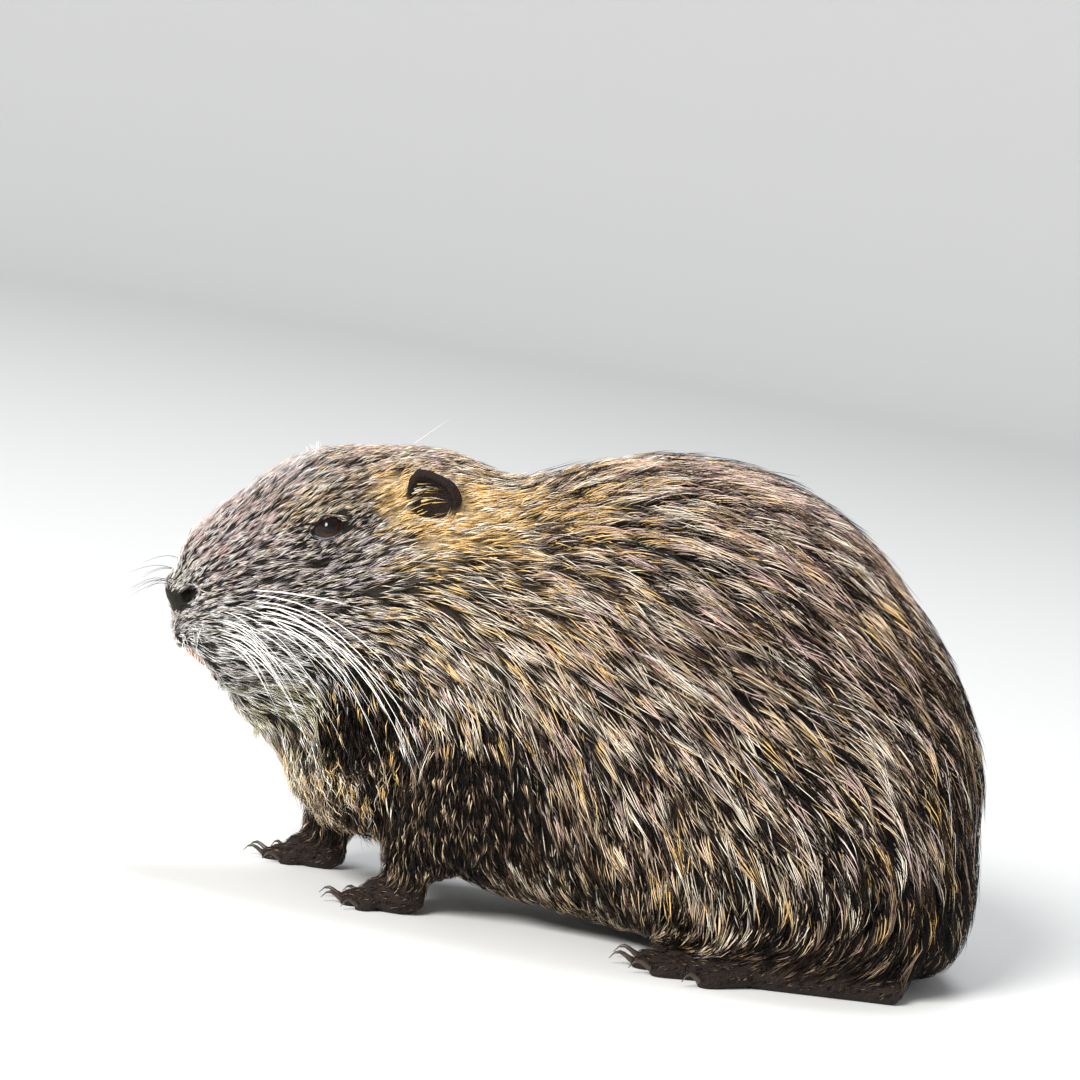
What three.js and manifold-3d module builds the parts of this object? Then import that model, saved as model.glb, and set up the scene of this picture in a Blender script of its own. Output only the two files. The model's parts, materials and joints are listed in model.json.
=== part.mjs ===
// A coypu (nutria), adult, crouched on level ground: a still, life-size figure out to the tips of its coat.
// Millimetres, +Z up. The nose points to -X and the animal's left side to -Y.
// The origin is on the ground, under the middle of the whole figure.
import * as THREE from "three";
import { mergeVertices } from "three/addons/utils/BufferGeometryUtils.js";
import Module from "manifold-3d";

const wasm = await Module();
wasm.setup();

const radians = THREE.MathUtils.degToRad;
const { lerp, smoothstep } = THREE.MathUtils;

// ---------- Driving dimensions ----------
const BACK_HEIGHT = 214; // ground to the top of the arched back
const HAUNCH_HALF_WIDTH = 94;
const HEAD_CENTRE = [-105, -4, 139];
const HEAD_PITCH = radians(28); // nose down
const HEAD_YAW = radians(13); // nose turned to the animal's left
const EYE_RADIUS = 7.8;
const EAR_HEIGHT = 29;
const EAR_WIDTH = 26;
const TAIL_ROOT_RADIUS = 15;
const TAIL_TIP_RADIUS = 4.5;
const HIND_FOOT_LENGTH = 126;
const FORE_PAW_LENGTH = 44;
const WRIST_HEIGHT = 17;
const CHEST_HANG = 27; // the lowest the coat hangs under the chest
const BELLY_HANG = 6; // and under the belly and rump
const FORE_CLAW_LENGTH = 8;
const HIND_CLAW_LENGTH = 9;
const SOLE_TRIM = 1.2; // how much of each sole and of the tail the ground trims to a flat
const GAP = 0.35; // between neighbouring pieces

const COAT = {
  face: { colour: "#8d7f70", roughness: 0.8 },
  body: { colour: "#5d4732", roughness: 0.75 },
  legs: { colour: "#4a3726", roughness: 0.8 },
};
const BARE_SKIN = { colour: "#3a2d28", roughness: 0.6 };
const TAIL_SKIN = { colour: "#5a4a40", roughness: 0.7 };
const EAR_SKIN = { colour: "#1d1714", roughness: 0.7 };
const WET_EYE = { colour: "#24130c", roughness: 0.1 };
const ENAMEL = { colour: "#b5531c", roughness: 0.3 };
const HORN = { colour: "#4b3a2b", roughness: 0.45 };

// Edge lengths of the facets.
const HEAD_CELL = 11.5;
const BODY_CELL = 21;
const LEG_CELL = 12;

// ---------- Fields: distance in mm from a point to a shape, negative inside ----------
const blend = (a, b, width) => {
  const h = Math.max(width - Math.abs(a - b), 0) / width;
  return Math.min(a, b) - (h * h * width) / 4;
};

function ellipsoid([cx, cy, cz], [rx, ry, rz]) {
  return (x, y, z) => {
    const u = (x - cx) / rx;
    const v = (y - cy) / ry;
    const w = (z - cz) / rz;
    const inner = Math.hypot(u, v, w);
    const slope = Math.hypot(u / rx, v / ry, w / rz);
    return slope === 0 ? -Math.min(rx, ry, rz) : (inner * (inner - 1)) / slope;
  };
}

// Flesh round a bone from a to b, of radius ra at a and rb at b.
function limb([ax, ay, az], [bx, by, bz], ra, rb) {
  const dx = bx - ax;
  const dy = by - ay;
  const dz = bz - az;
  const long = dx * dx + dy * dy + dz * dz;
  return (x, y, z) => {
    const along = ((x - ax) * dx + (y - ay) * dy + (z - az) * dz) / long;
    const t = Math.min(Math.max(along, 0), 1);
    const off = Math.hypot(x - ax - t * dx, y - ay - t * dy, z - az - t * dz);
    return off - (ra + t * (rb - ra));
  };
}

const joined = (width, ...fields) => (x, y, z) =>
  fields.map((field) => field(x, y, z)).reduce((a, b) => blend(a, b, width));

const onBothSides = (field) => (x, y, z) => field(x, Math.abs(y), z);

function placed(field, frame) {
  const inverse = frame.clone().invert();
  const p = new THREE.Vector3();
  return (x, y, z) => {
    p.set(x, y, z).applyMatrix4(inverse);
    return field(p.x, p.y, p.z);
  };
}

// ---------- Solids ----------
function solid(positions, triangles) {
  const mesh = new wasm.Mesh({
    numProp: 3,
    vertProperties: new Float32Array(positions),
    triVerts: new Uint32Array(triangles),
  });
  return new wasm.Manifold(mesh);
}

function geometryOf(shape) {
  const { vertProperties, triVerts } = shape.getMesh();
  return new THREE.BufferGeometry()
    .setAttribute("position", new THREE.BufferAttribute(new Float32Array(vertProperties), 3))
    .setIndex(new THREE.BufferAttribute(new Uint32Array(triVerts), 1));
}

function solidOf(geometry, frame = new THREE.Matrix4()) {
  const bare = geometry.clone().applyMatrix4(frame);
  bare.deleteAttribute("normal");
  bare.deleteAttribute("uv");
  const merged = mergeVertices(bare, 1e-3);
  const triangles = [];
  for (let i = 0; i < merged.index.count; i += 3) {
    const [a, b, c] = merged.index.array.slice(i, i + 3);
    if (a !== b && b !== c && c !== a) triangles.push(a, b, c);
  }
  return solid(merged.attributes.position.array, triangles);
}

// A field's surface inside a box, as facets of about one cell. Each cell that the surface crosses has a vertex
// for each sheet of it, drawn on to the surface along the field's slope, and each grid edge that it crosses has
// two triangles round it.
function surface(field, low, high, cell) {
  const size = low.map((l, axis) => Math.ceil((high[axis] - l) / cell) + 1);
  const at = ([i, j, k]) => (k * size[1] + j) * size[0] + i;
  const place = (index) => index.map((n, axis) => low[axis] + n * cell);
  const everyPoint = (first, spare, visit) => {
    for (let k = first; k < size[2] - spare; k++)
      for (let j = first; j < size[1] - spare; j++)
        for (let i = first; i < size[0] - spare; i++) visit([i, j, k]);
  };
  const plus = (a, b) => a.map((value, axis) => value + b[axis]);
  const values = new Float64Array(size[0] * size[1] * size[2]);
  everyPoint(0, 0, (index) => {
    const onEdge = index.some((n, axis) => n === 0 || n === size[axis] - 1);
    const value = field(...place(index));
    values[at(index)] = onEdge ? Math.max(cell, value) : value;
  });

  const drawn = (start) => {
    let p = start;
    for (let pass = 0; pass < 4; pass++) {
      const value = field(...p);
      const step = cell * 0.02;
      const slope = [0, 1, 2].map((axis) => {
        const q = [...p];
        q[axis] += step;
        return (field(...q) - value) / step;
      });
      const steepness = slope.reduce((sum, s) => sum + s * s, 0) || 1;
      p = p.map((x, axis) => x - (value * slope[axis]) / steepness);
    }
    const moved = Math.hypot(...p.map((x, axis) => x - start[axis]));
    return moved < cell * 0.6 ? p : start;
  };

  const corners = [0, 1, 2, 3, 4, 5, 6, 7].map((c) => [c & 1, (c >> 1) & 1, c >> 2]);
  const cornerPairs = corners.flatMap((a, m) => corners.map((b, n) => [m, n]).filter(([, n]) => m < n));
  const edges = cornerPairs.filter(([m, n]) => [1, 2, 4].includes(m ^ n));
  const positions = [];
  const vertexOf = new Int32Array(values.length * 8);
  everyPoint(0, 1, (index) => {
    const v = corners.map((corner) => values[at(plus(index, corner))]);
    const sheet = [0, 1, 2, 3, 4, 5, 6, 7];
    for (let pass = 0; pass < 4; pass++)
      for (const [m, n] of edges)
        if (v[m] < 0 && v[n] < 0) sheet[m] = sheet[n] = Math.min(sheet[m], sheet[n]);
    const crossed = edges.filter(([m, n]) => v[m] < 0 !== v[n] < 0);
    const sheetOf = ([m, n]) => sheet[v[m] < 0 ? m : n];
    for (const each of new Set(crossed.map(sheetOf))) {
      const crossings = crossed
        .filter((edge) => sheetOf(edge) === each)
        .map(([m, n]) => corners[m].map((c, axis) => lerp(c, corners[n][axis], v[m] / (v[m] - v[n]))));
      const mean = [0, 1, 2].map(
        (axis) => crossings.reduce((sum, c) => sum + c[axis], 0) / crossings.length,
      );
      sheet.forEach((s, corner) => {
        if (s === each && v[corner] < 0) vertexOf[at(index) * 8 + corner] = positions.length / 3;
      });
      positions.push(...drawn(place(plus(index, mean))));
    }
  });

  const triangles = [];
  const directions = [[1, 0, 0], [0, 1, 0], [0, 0, 1]];
  everyPoint(0, 1, (index) =>
    directions.forEach((step, axis) => {
      const next = plus(index, step);
      const inside = values[at(index)] < 0;
      if (inside === values[at(next)] < 0) return;
      const within = inside ? index : next;
      const u = directions[(axis + 1) % 3];
      const w = directions[(axis + 2) % 3];
      const ring = [[0, 0], [1, 0], [1, 1], [0, 1]].map(([m, n]) => {
        const cellIndex = index.map((value, i) => value - m * u[i] - n * w[i]);
        const corner = within.reduce((sum, value, i) => sum + (value - cellIndex[i]) * 2 ** i, 0);
        return vertexOf[at(cellIndex) * 8 + corner];
      });
      if (!inside) ring.reverse();
      triangles.push(ring[0], ring[1], ring[2], ring[0], ring[2], ring[3]);
    }),
  );
  return solid(positions, triangles);
}

const ball = (centre, radii, frame, wide = 16, high = 10) =>
  solidOf(new THREE.SphereGeometry(1, wide, high).scale(...radii).translate(...centre), frame);

const block = (low, high, frame) => {
  const size = high.map((h, axis) => h - low[axis]);
  const middle = low.map((l, axis) => l + size[axis] / 2);
  return solidOf(new THREE.BoxGeometry(...size).translate(...middle), frame);
};

// A rod from a to b, of radius ra at a and rb at b, round at b and flatter than it is wide.
function rod(a, b, ra, rb, sides, flatness = 1, frame = undefined) {
  const start = new THREE.Vector3(...a);
  const along = new THREE.Vector3(...b).sub(start);
  const length = along.length();
  const profile = [
    [0, -ra * 0.6],
    [ra, 0],
    [rb, length],
    [rb * Math.SQRT1_2, length + rb * Math.SQRT1_2],
    [0, length + rb],
  ].map(([radius, height]) => new THREE.Vector2(radius, height));
  const geometry = new THREE.LatheGeometry(profile, sides)
    .rotateZ(-Math.PI / 2)
    .scale(1, 1, flatness)
    .rotateY(-Math.asin(along.z / length))
    .rotateZ(Math.atan2(along.y, along.x))
    .translate(...a);
  return solidOf(geometry, frame);
}

// All of space on the nose's side of a plane through a point; lean tips the plane's top forwards.
const REACH = 500;
const aheadOf = (point, lean, turn = 0) =>
  solidOf(
    new THREE.BoxGeometry(REACH, REACH, REACH)
      .translate(-REACH / 2, 0, 0)
      .rotateY(-lean)
      .rotateZ(turn)
      .translate(...point),
  );

// ---------- Head, in its own frame: the nose to -X and the crown to +Z ----------
const headFrame = new THREE.Matrix4()
  .makeRotationFromEuler(new THREE.Euler(0, -HEAD_PITCH, HEAD_YAW, "ZYX"))
  .setPosition(...HEAD_CENTRE);

const cranium = ellipsoid([24, 0, 6], [50, 37, 40]);
const brow = ellipsoid([-5, 0, 20], [48, 27, 37]);
const bridge = ellipsoid([-41, 0, 16], [37, 19, 31]);
const muzzle = ellipsoid([-48, 0, -6], [34, 26, 26]);
const lip = onBothSides(ellipsoid([-63, 10, -8], [23, 15, 19]));
const jaw = ellipsoid([-6, 0, -22], [50, 34, 34]);
const chin = ellipsoid([-45, 0, -35], [25, 18, 24]);
const jowl = onBothSides(ellipsoid([14, 20, -10], [44, 25, 40]));
const browRidge = onBothSides(ellipsoid([-9, 23.5, 31], [16, 8, 6]));
const headField = placed(
  joined(9, cranium, brow, bridge, muzzle, lip, jaw, chin, jowl, browRidge),
  headFrame,
);

const EYE_PLACE = [-7.5, 25.6, 27];
const NOSE_PLACE = [-76, 0, 17];
const NOSE_RADII = [8, 12, 11];
const NOSTRIL_PLACE = [-74.5, 11, 18.5];
const NOSTRIL_RADIUS = 3;
const EAR_PLACE = [38, 37, 25];
const EAR_TURN = radians(28); // the cup opens outwards and this far forwards
const EAR_TILT = radians(16); // its tip leans back
const EAR_WALL = 2;
const MOUTH_SLOPE = radians(23); // the split upper lip runs down and back
const MOUTH_SLOT = { place: [-76, 0, -12], low: [-16, -6, -19], high: [9, 6, 12] };
const UPPER_INCISORS = { place: [-77.5, 0, -9], size: [3.4, 10, 14] };
const LOWER_INCISORS = { place: [-70, 0, -22.4], size: [3, 8, 9] };

// ---------- Body ----------
const neck = limb([-64, -2, 130], [0, 0, 120], 58, 72);
const throat = ellipsoid([-86, -2, 88], [38, 40, 42]);
const chest = ellipsoid([-72, 0, 66], [54, 52, 48]);
const shoulder = onBothSides(ellipsoid([-34, 36, 86], [44, 32, 56]));
const back = ellipsoid([40, 0, 118], [112, 78, BACK_HEIGHT - 118]);
const rump = ellipsoid([92, 0, 76], [90, 82, 97]);
const seat = ellipsoid([130, 0, 34], [57, 74, 50]);
const thigh = onBothSides(ellipsoid([94, 50, 54], [66, HAUNCH_HALF_WIDTH - 50, 60]));
const belly = ellipsoid([20, 0, 62], [104, 72, 58]);
const torso = joined(14, neck, throat, chest, shoulder, back, rump, seat, thigh, belly);

const foreLegs = {
  left: { side: -1, elbow: [-38, -50, 62], wrist: [-61, -38, 18] },
  right: { side: 1, elbow: [-89, 44, 60], wrist: [-100, 37, 18] },
};
const foreLeg = ({ elbow, wrist }, extra = 0) => limb(elbow, wrist, 25 + extra, 12.5 + extra);
const coatHang = (x) => lerp(CHEST_HANG, BELLY_HANG, smoothstep(x, -75, -25));

const bodyField = (x, y, z) => {
  const whole = blend(torso(x, y, z), headField(x, y, z), 14);
  return -blend(-whole, z - coatHang(x), 10);
};
const bodyAndLeg = (leg) => joined(12, bodyField, foreLeg(leg));

// ---------- Paws and feet ----------
const FORE_DIGIT_RADIUS = 3.2;
const FORE_DIGITS = [
  { spread: -11, length: 0.8 },
  { spread: -4, length: 1 },
  { spread: 4, length: 0.97 },
  { spread: 11, length: 0.8 },
];
const forePawJoints = ({ side, wrist }) =>
  FORE_DIGITS.map(({ spread, length }) => {
    const y = wrist[1] + spread * side;
    const knuckle = [wrist[0] - 10, wrist[1] + spread * side * 0.6, 7];
    const tip = [wrist[0] + 16 - (FORE_PAW_LENGTH - 4) * length, y + side, 3];
    return { knuckle, tip };
  });

function forePaw(leg) {
  const [x, y, z] = leg.wrist;
  const wrist = rod([x, y, z + 8], [x, y, z - 8], 12, 10, 8);
  const palm = ball([x - 4, y, 7.5], [15, 12, 8], undefined, 9, 6);
  return forePawJoints(leg)
    .map(({ knuckle, tip }) => rod(knuckle, tip, 4.6, FORE_DIGIT_RADIUS, 6))
    .reduce((paw, digit) => paw.add(digit), wrist.add(palm));
}

const hindFrames = {
  left: new THREE.Matrix4().makeRotationZ(radians(7)).setPosition(160, -56, 0),
  right: new THREE.Matrix4().makeRotationZ(radians(-7)).setPosition(160, 56, 0),
};
// Toes from the innermost outwards; the first four are webbed and the fifth is free.
const HIND_TOES = [
  { spread: -21, length: 0.84, root: -8 },
  { spread: -9, length: 0.97, root: -4 },
  { spread: 4, length: 1, root: 1 },
  { spread: 16, length: 0.95, root: 6 },
  { spread: 26, length: 0.8, root: 11 },
];
const HIND_TOE_RADIUS = 4.2;
const FOOT_BALL = 0.56; // of the foot's length, from the heel
const hindToeJoints = (side) =>
  HIND_TOES.map(({ spread, length, root }) => ({
    knuckle: [-HIND_FOOT_LENGTH * FOOT_BALL, root * side, 7],
    tip: [8 - HIND_FOOT_LENGTH * length, spread * side, 3.8],
  }));

function hindFoot(side, frame) {
  const heel = [-8, 0, 6.5];
  const footBall = [-HIND_FOOT_LENGTH * FOOT_BALL, 2 * side, 7.5];
  const sole = rod(heel, footBall, 11, 16, 10, 0.6, frame);
  return hindToeJoints(side)
    .map(({ knuckle, tip }) => rod(knuckle, tip, 6, HIND_TOE_RADIUS, 6, 0.9, frame))
    .reduce((foot, toe) => foot.add(toe), sole);
}

const WEB_THICKNESS = 3;
function web(side, frame) {
  const tips = hindToeJoints(side).slice(0, 4).map(({ tip }) => tip);
  const outline = new THREE.Shape();
  outline.moveTo(-HIND_FOOT_LENGTH * FOOT_BALL, -9 * side);
  tips.forEach(([x, y], i) => {
    const end = [x + 7, y];
    if (i === 0) outline.lineTo(...end);
    else outline.quadraticCurveTo(x + 18, (y + tips[i - 1][1]) / 2, ...end);
  });
  outline.lineTo(-HIND_FOOT_LENGTH * FOOT_BALL, 9 * side);
  const sheet = new THREE.ExtrudeGeometry(outline, {
    depth: WEB_THICKNESS,
    bevelEnabled: false,
    curveSegments: 3,
  });
  return solidOf(sheet, frame);
}

// ---------- Tail: laid on the ground round the animal's right side ----------
const tailLine = new THREE.CatmullRomCurve3(
  [
    [148, 4, 26],
    [170, 44, 18],
    [168, 92, 14],
    [144, 134, 12],
    [102, 156, 10],
    [56, 158, 8],
    [16, 144, 6.5],
    [-12, 120, 5],
  ].map((p) => new THREE.Vector3(...p)),
);
const tailRadius = (t) => lerp(TAIL_ROOT_RADIUS, TAIL_TIP_RADIUS, t ** 0.8);
const TAIL_PIECES = 4;
const TAIL_SIDES = 10;

function tailPiece(index) {
  const long = tailLine.getLength();
  const from = index / TAIL_PIECES + (index ? GAP / long : 0);
  const to = (index + 1) / TAIL_PIECES;
  const rings = 7;
  const positions = [];
  const triangles = [];
  const isTip = index === TAIL_PIECES - 1;
  for (let i = 0; i <= rings; i++) {
    const t = lerp(from, to, i / rings);
    const rounding = isTip ? Math.sqrt(Math.max(1 - (i / rings) ** 6, 0.06)) : 1;
    const radius = tailRadius(t) * rounding;
    const ahead = tailLine.getTangentAt(t).setZ(0).normalize();
    const centre = tailLine.getPointAt(t);
    for (let j = 0; j < TAIL_SIDES; j++) {
      const turn = (2 * Math.PI * (j + 0.5)) / TAIL_SIDES;
      const across = radius * Math.cos(turn);
      const height = centre.z + radius * Math.sin(turn);
      positions.push(centre.x + ahead.y * across, centre.y - ahead.x * across, height);
    }
  }
  for (let i = 0; i < rings; i++)
    for (let j = 0; j < TAIL_SIDES; j++) {
      const a = i * TAIL_SIDES + j;
      const b = i * TAIL_SIDES + ((j + 1) % TAIL_SIDES);
      triangles.push(a, b + TAIL_SIDES, b, a, a + TAIL_SIDES, b + TAIL_SIDES);
    }
  for (let j = 1; j < TAIL_SIDES - 1; j++) {
    const last = rings * TAIL_SIDES;
    triangles.push(0, j, j + 1, last, last + j + 1, last + j);
  }
  return solid(positions, triangles);
}

// ---------- Cutting the flesh into its named pieces ----------
const CLEARANCE = 0.9; // for pieces that meet on a curved facetted surface
const BODY_BOX = [
  [-200, -110, -8],
  [196, 110, 226],
];
const body = surface(bodyField, ...BODY_BOX, BODY_CELL);
const swollen = surface((x, y, z) => bodyField(x, y, z) - CLEARANCE, ...BODY_BOX, BODY_CELL);
const lowered = solidOf(geometryOf(body).translate(0, 0, -GAP));
const bodyAndGap = swollen.add(body).add(lowered);
const headFlesh = surface(bodyField, [-196, -78, 40], [-30, 78, 212], HEAD_CELL);

const nape = (extra) => aheadOf([-57 + extra, 0, 150], radians(-6), radians(5));
const underJaw = (extra) => block([-REACH, -REACH, -60 - extra], [REACH, REACH, REACH], headFrame);
const headRegion = (extra = 0) => nape(extra).intersect(underJaw(extra));
const withers = (extra) => aheadOf([-34 + extra, 0, 130], radians(-18));
const loins = (extra) => aheadOf([72 + extra, 0, 100], 0);
const legRegion = (leg, extra = 0) =>
  surface(foreLeg(leg, 4 + extra), [-130, leg.side < 0 ? -96 : 0, -8], [0, leg.side < 0 ? 0 : 96, 110], 13);
const haunchRegion = (side, extra = 0) =>
  ball([100, 84 * side, 60], [64 + extra, 52 + extra, 66 + extra], undefined, 14, 9);
const aboveGround = (height) => block([-REACH, -REACH, height], [REACH, REACH, REACH]);
const wristAbove = aboveGround(WRIST_HEIGHT + GAP);

const { left, right } = foreLegs;
const withoutLimbs = body
  .subtract(legRegion(left, CLEARANCE))
  .subtract(legRegion(right, CLEARANCE))
  .subtract(haunchRegion(-1, GAP))
  .subtract(haunchRegion(1, GAP));

const group = new THREE.Group();
function add(name, shape, { colour, roughness }) {
  const material = new THREE.MeshStandardMaterial({ color: colour, roughness, metalness: 0 });
  const piece = new THREE.Mesh(geometryOf(shape), material);
  piece.name = name;
  group.add(piece);
}

add("neck", withoutLimbs.intersect(withers(0)).subtract(headRegion(GAP)), COAT.body);
add("trunk", withoutLimbs.subtract(withers(GAP)).intersect(loins(0)), COAT.body);
add("rump", withoutLimbs.subtract(loins(GAP)), COAT.body);

for (const [side, leg] of Object.entries(foreLegs)) {
  const legFlesh = surface(bodyAndLeg(leg), [-134, -92, -8], [4, 92, 110], LEG_CELL);
  const upper = legFlesh.intersect(legRegion(leg)).subtract(headRegion(GAP));
  add(`foreleg_${side}`, upper.intersect(wristAbove), COAT.legs);
  add(`haunch_${side}`, body.intersect(haunchRegion(leg.side)), COAT.body);
  const paw = forePaw(leg).subtract(aboveGround(WRIST_HEIGHT));
  add(`forepaw_${side}`, paw.intersect(aboveGround(SOLE_TRIM)), BARE_SKIN);

  const frame = hindFrames[side];
  const foot = hindFoot(leg.side, frame).add(web(leg.side, frame));
  add(`hindfoot_${side}`, foot.intersect(aboveGround(SOLE_TRIM)).subtract(bodyAndGap), BARE_SKIN);
}

const CLAW_SIDES = 6;
function claw(tip, knuckle, toeRadius, length, radius, frame) {
  const ahead = new THREE.Vector3(tip[0] - knuckle[0], tip[1] - knuckle[1], 0).normalize();
  const heading = new THREE.Quaternion().setFromUnitVectors(new THREE.Vector3(0, 1, 0), ahead);
  const middle = new THREE.Vector3(...tip).addScaledVector(ahead, toeRadius + GAP + length / 2);
  const cone = new THREE.ConeGeometry(radius, length, CLAW_SIDES).applyQuaternion(heading);
  return solidOf(cone.translate(middle.x, middle.y, middle.z), frame);
}
for (const [side, leg] of Object.entries(foreLegs)) {
  forePawJoints(leg).forEach(({ knuckle, tip }, i) => {
    const shape = claw(tip, knuckle, FORE_DIGIT_RADIUS, FORE_CLAW_LENGTH, 1.5);
    add(`claw_fore_${side}_${i + 1}`, shape, HORN);
  });
  hindToeJoints(leg.side).forEach(({ knuckle, tip }, i) => {
    const shape = claw(tip, knuckle, HIND_TOE_RADIUS, HIND_CLAW_LENGTH, 1.7, hindFrames[side]);
    add(`claw_hind_${side}_${i + 1}`, shape, HORN);
  });
}

for (let i = 0; i < TAIL_PIECES; i++) {
  const piece = tailPiece(i).intersect(aboveGround(SOLE_TRIM)).subtract(bodyAndGap);
  add(`tail_${i + 1}`, piece, TAIL_SKIN);
}

// ---------- Head ----------
const sided = ([x, y, z], side) => [x, y * side, z];
const earFrame = (side) =>
  headFrame
    .clone()
    .multiply(new THREE.Matrix4().makeTranslation(...sided(EAR_PLACE, side)))
    .multiply(
      new THREE.Matrix4().makeRotationFromEuler(
        new THREE.Euler(0, EAR_TILT, EAR_TURN * side, "ZYX"),
      ),
    );
const earRadii = [EAR_WIDTH / 2, 8, EAR_HEIGHT / 2];
const grown = (radii, extra) => radii.map((r) => r + extra);

let head = headFlesh.intersect(headRegion());
for (const [side, { side: sign }] of Object.entries(foreLegs)) {
  const cup = (extra) => ball([0, 0, 0], grown(earRadii, extra), earFrame(sign), 10, 6);
  const hollow = ball([0, sign * 5, 0], grown(earRadii, -EAR_WALL), earFrame(sign), 10, 6);
  const eye = (extra) =>
    ball(sided(EYE_PLACE, sign), grown([EYE_RADIUS, EYE_RADIUS, EYE_RADIUS], extra), headFrame, 12, 7);
  head = head.subtract(cup(GAP)).subtract(eye(GAP));
  add(`ear_${side}`, cup(0).subtract(hollow), EAR_SKIN);
  add(`eye_${side}`, eye(0), WET_EYE);
}
const nose = (extra) => ball(NOSE_PLACE, grown(NOSE_RADII, extra), headFrame, 8, 6);
const nostril = (sign) =>
  ball(sided(NOSTRIL_PLACE, sign), [NOSTRIL_RADIUS + 2, NOSTRIL_RADIUS, NOSTRIL_RADIUS], headFrame, 6, 4);
head = head.subtract(nose(GAP));
add("nose", nose(0).subtract(nostril(1)).subtract(nostril(-1)), BARE_SKIN);

const mouthFrame = (place) =>
  headFrame
    .clone()
    .multiply(new THREE.Matrix4().makeTranslation(...place))
    .multiply(new THREE.Matrix4().makeRotationY(-MOUTH_SLOPE));
head = head.subtract(block(MOUTH_SLOT.low, MOUTH_SLOT.high, mouthFrame(MOUTH_SLOT.place)));
add("head", head, COAT.face);
const incisors = { incisors_upper: UPPER_INCISORS, incisors_lower: LOWER_INCISORS };
for (const [name, { place, size }] of Object.entries(incisors)) {
  const [deep, wide, high] = size.map((s) => s / 2);
  const frame = mouthFrame(place);
  const parting = block([-deep - 1, -0.3, -high - 1], [-deep + 0.8, 0.3, high + 1], frame);
  add(name, block([-deep, -wide, -high], [deep, wide, high], frame).subtract(parting), ENAMEL);
}

// The figure stands with its soles on the ground and its box centred on the origin.
const box = new THREE.Box3().setFromObject(group);
const centre = box.getCenter(new THREE.Vector3());
group.position.set(-centre.x, -centre.y, -box.min.z);
group.updateMatrixWorld(true);
export default group;
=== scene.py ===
# %% [markdown]
# # A life-size coypu, crouched, built in Blender
#
# The figure is made in layers, as a model maker would make it. First comes a frame of plain solids, which
# gives every size and place. Over it goes one skin, then the eyes, nose, teeth and claws, and last the
# coat, lock by lock. Lengths are in metres, the nose points to -X, the animal's left side to -Y, and +Z is
# up.

# %% The frame
import json
import math
from contextlib import contextmanager

import bpy
import numpy as np
from mathutils import Euler, Matrix, Vector
from mathutils.bvhtree import BVHTree

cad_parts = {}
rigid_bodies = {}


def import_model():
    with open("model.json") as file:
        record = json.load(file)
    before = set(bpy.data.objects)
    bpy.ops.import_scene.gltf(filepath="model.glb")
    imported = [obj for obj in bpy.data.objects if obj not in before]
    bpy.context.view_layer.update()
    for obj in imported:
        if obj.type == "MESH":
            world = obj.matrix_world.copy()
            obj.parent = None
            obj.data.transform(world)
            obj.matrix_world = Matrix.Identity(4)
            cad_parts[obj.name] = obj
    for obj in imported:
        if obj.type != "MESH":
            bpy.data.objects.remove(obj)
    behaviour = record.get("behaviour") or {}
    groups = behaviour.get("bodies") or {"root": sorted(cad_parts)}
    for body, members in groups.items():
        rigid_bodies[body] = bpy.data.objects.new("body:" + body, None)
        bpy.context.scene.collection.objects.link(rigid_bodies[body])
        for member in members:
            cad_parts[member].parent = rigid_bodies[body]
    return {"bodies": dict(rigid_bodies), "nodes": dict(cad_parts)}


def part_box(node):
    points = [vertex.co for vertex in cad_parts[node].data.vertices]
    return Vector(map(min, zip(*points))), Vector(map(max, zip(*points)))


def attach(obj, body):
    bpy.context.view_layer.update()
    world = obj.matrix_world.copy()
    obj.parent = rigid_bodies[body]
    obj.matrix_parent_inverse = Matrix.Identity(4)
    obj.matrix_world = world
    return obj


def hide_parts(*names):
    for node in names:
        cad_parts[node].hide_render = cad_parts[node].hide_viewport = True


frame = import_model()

MM = 0.001
BODY = "root" if "root" in frame["bodies"] else next(iter(frame["bodies"]))
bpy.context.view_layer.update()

# %% [markdown]
# ## Landmarks
#
# Most shapes here are placed from a few landmarks: the middle of the head with the way it points, and the
# midline of the body. The head has its own axes, so that an eye or a nostril can be placed by how far back,
# out and up it is.

# %% Landmarks on the body
HEAD_PITCH = math.radians(28)
HEAD_YAW = math.radians(13)
SIDES = {"left": -1, "right": 1}


def box_centre(node):
    low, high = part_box(node)
    return (Vector(low) + Vector(high)) / 2


EYES = {side: box_centre(f"eye_{side}") for side in SIDES}
EARS = {side: box_centre(f"ear_{side}") for side in SIDES}
EYE_RADIUS = (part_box("eye_left")[1][2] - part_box("eye_left")[0][2]) / 2 / MM
MIDLINE = box_centre("rump").y
head_turn = Euler((0, -HEAD_PITCH, HEAD_YAW), "XYZ").to_matrix()
EYE_PLACE = (-7.5, 25.6, 27)
HEAD = (EYES["left"] + EYES["right"]) / 2 - head_turn @ Vector((EYE_PLACE[0], 0, EYE_PLACE[2])) * MM
HEAD_AXES = np.array(head_turn)


def head_place(back, out, up, sign=1):
    """A place on the head, in mm back from its middle, out to one side and up, as a place in the scene."""
    return np.array(HEAD) + HEAD_AXES @ np.array([back, out * sign, up]) * MM


def head_way(back, out, up, sign=1):
    """A direction on the head, the same way."""
    way = HEAD_AXES @ np.array([back, out * sign, up], float)
    return way / np.linalg.norm(way)


def as_on_head(points):
    """Scene places as mm back, out and up on the head."""
    return (points - np.array(HEAD)) @ HEAD_AXES / MM


print("eye radius", round(EYE_RADIUS, 2), "mm; head at", [round(v / MM, 1) for v in HEAD])

# %% [markdown]
# ## Helpers for selecting and measuring
#
# An operator works on whatever is selected, so each piece starts from an empty selection. Points are read
# and written as one array, which is quick enough to shape a hundred thousand of them.

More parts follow.
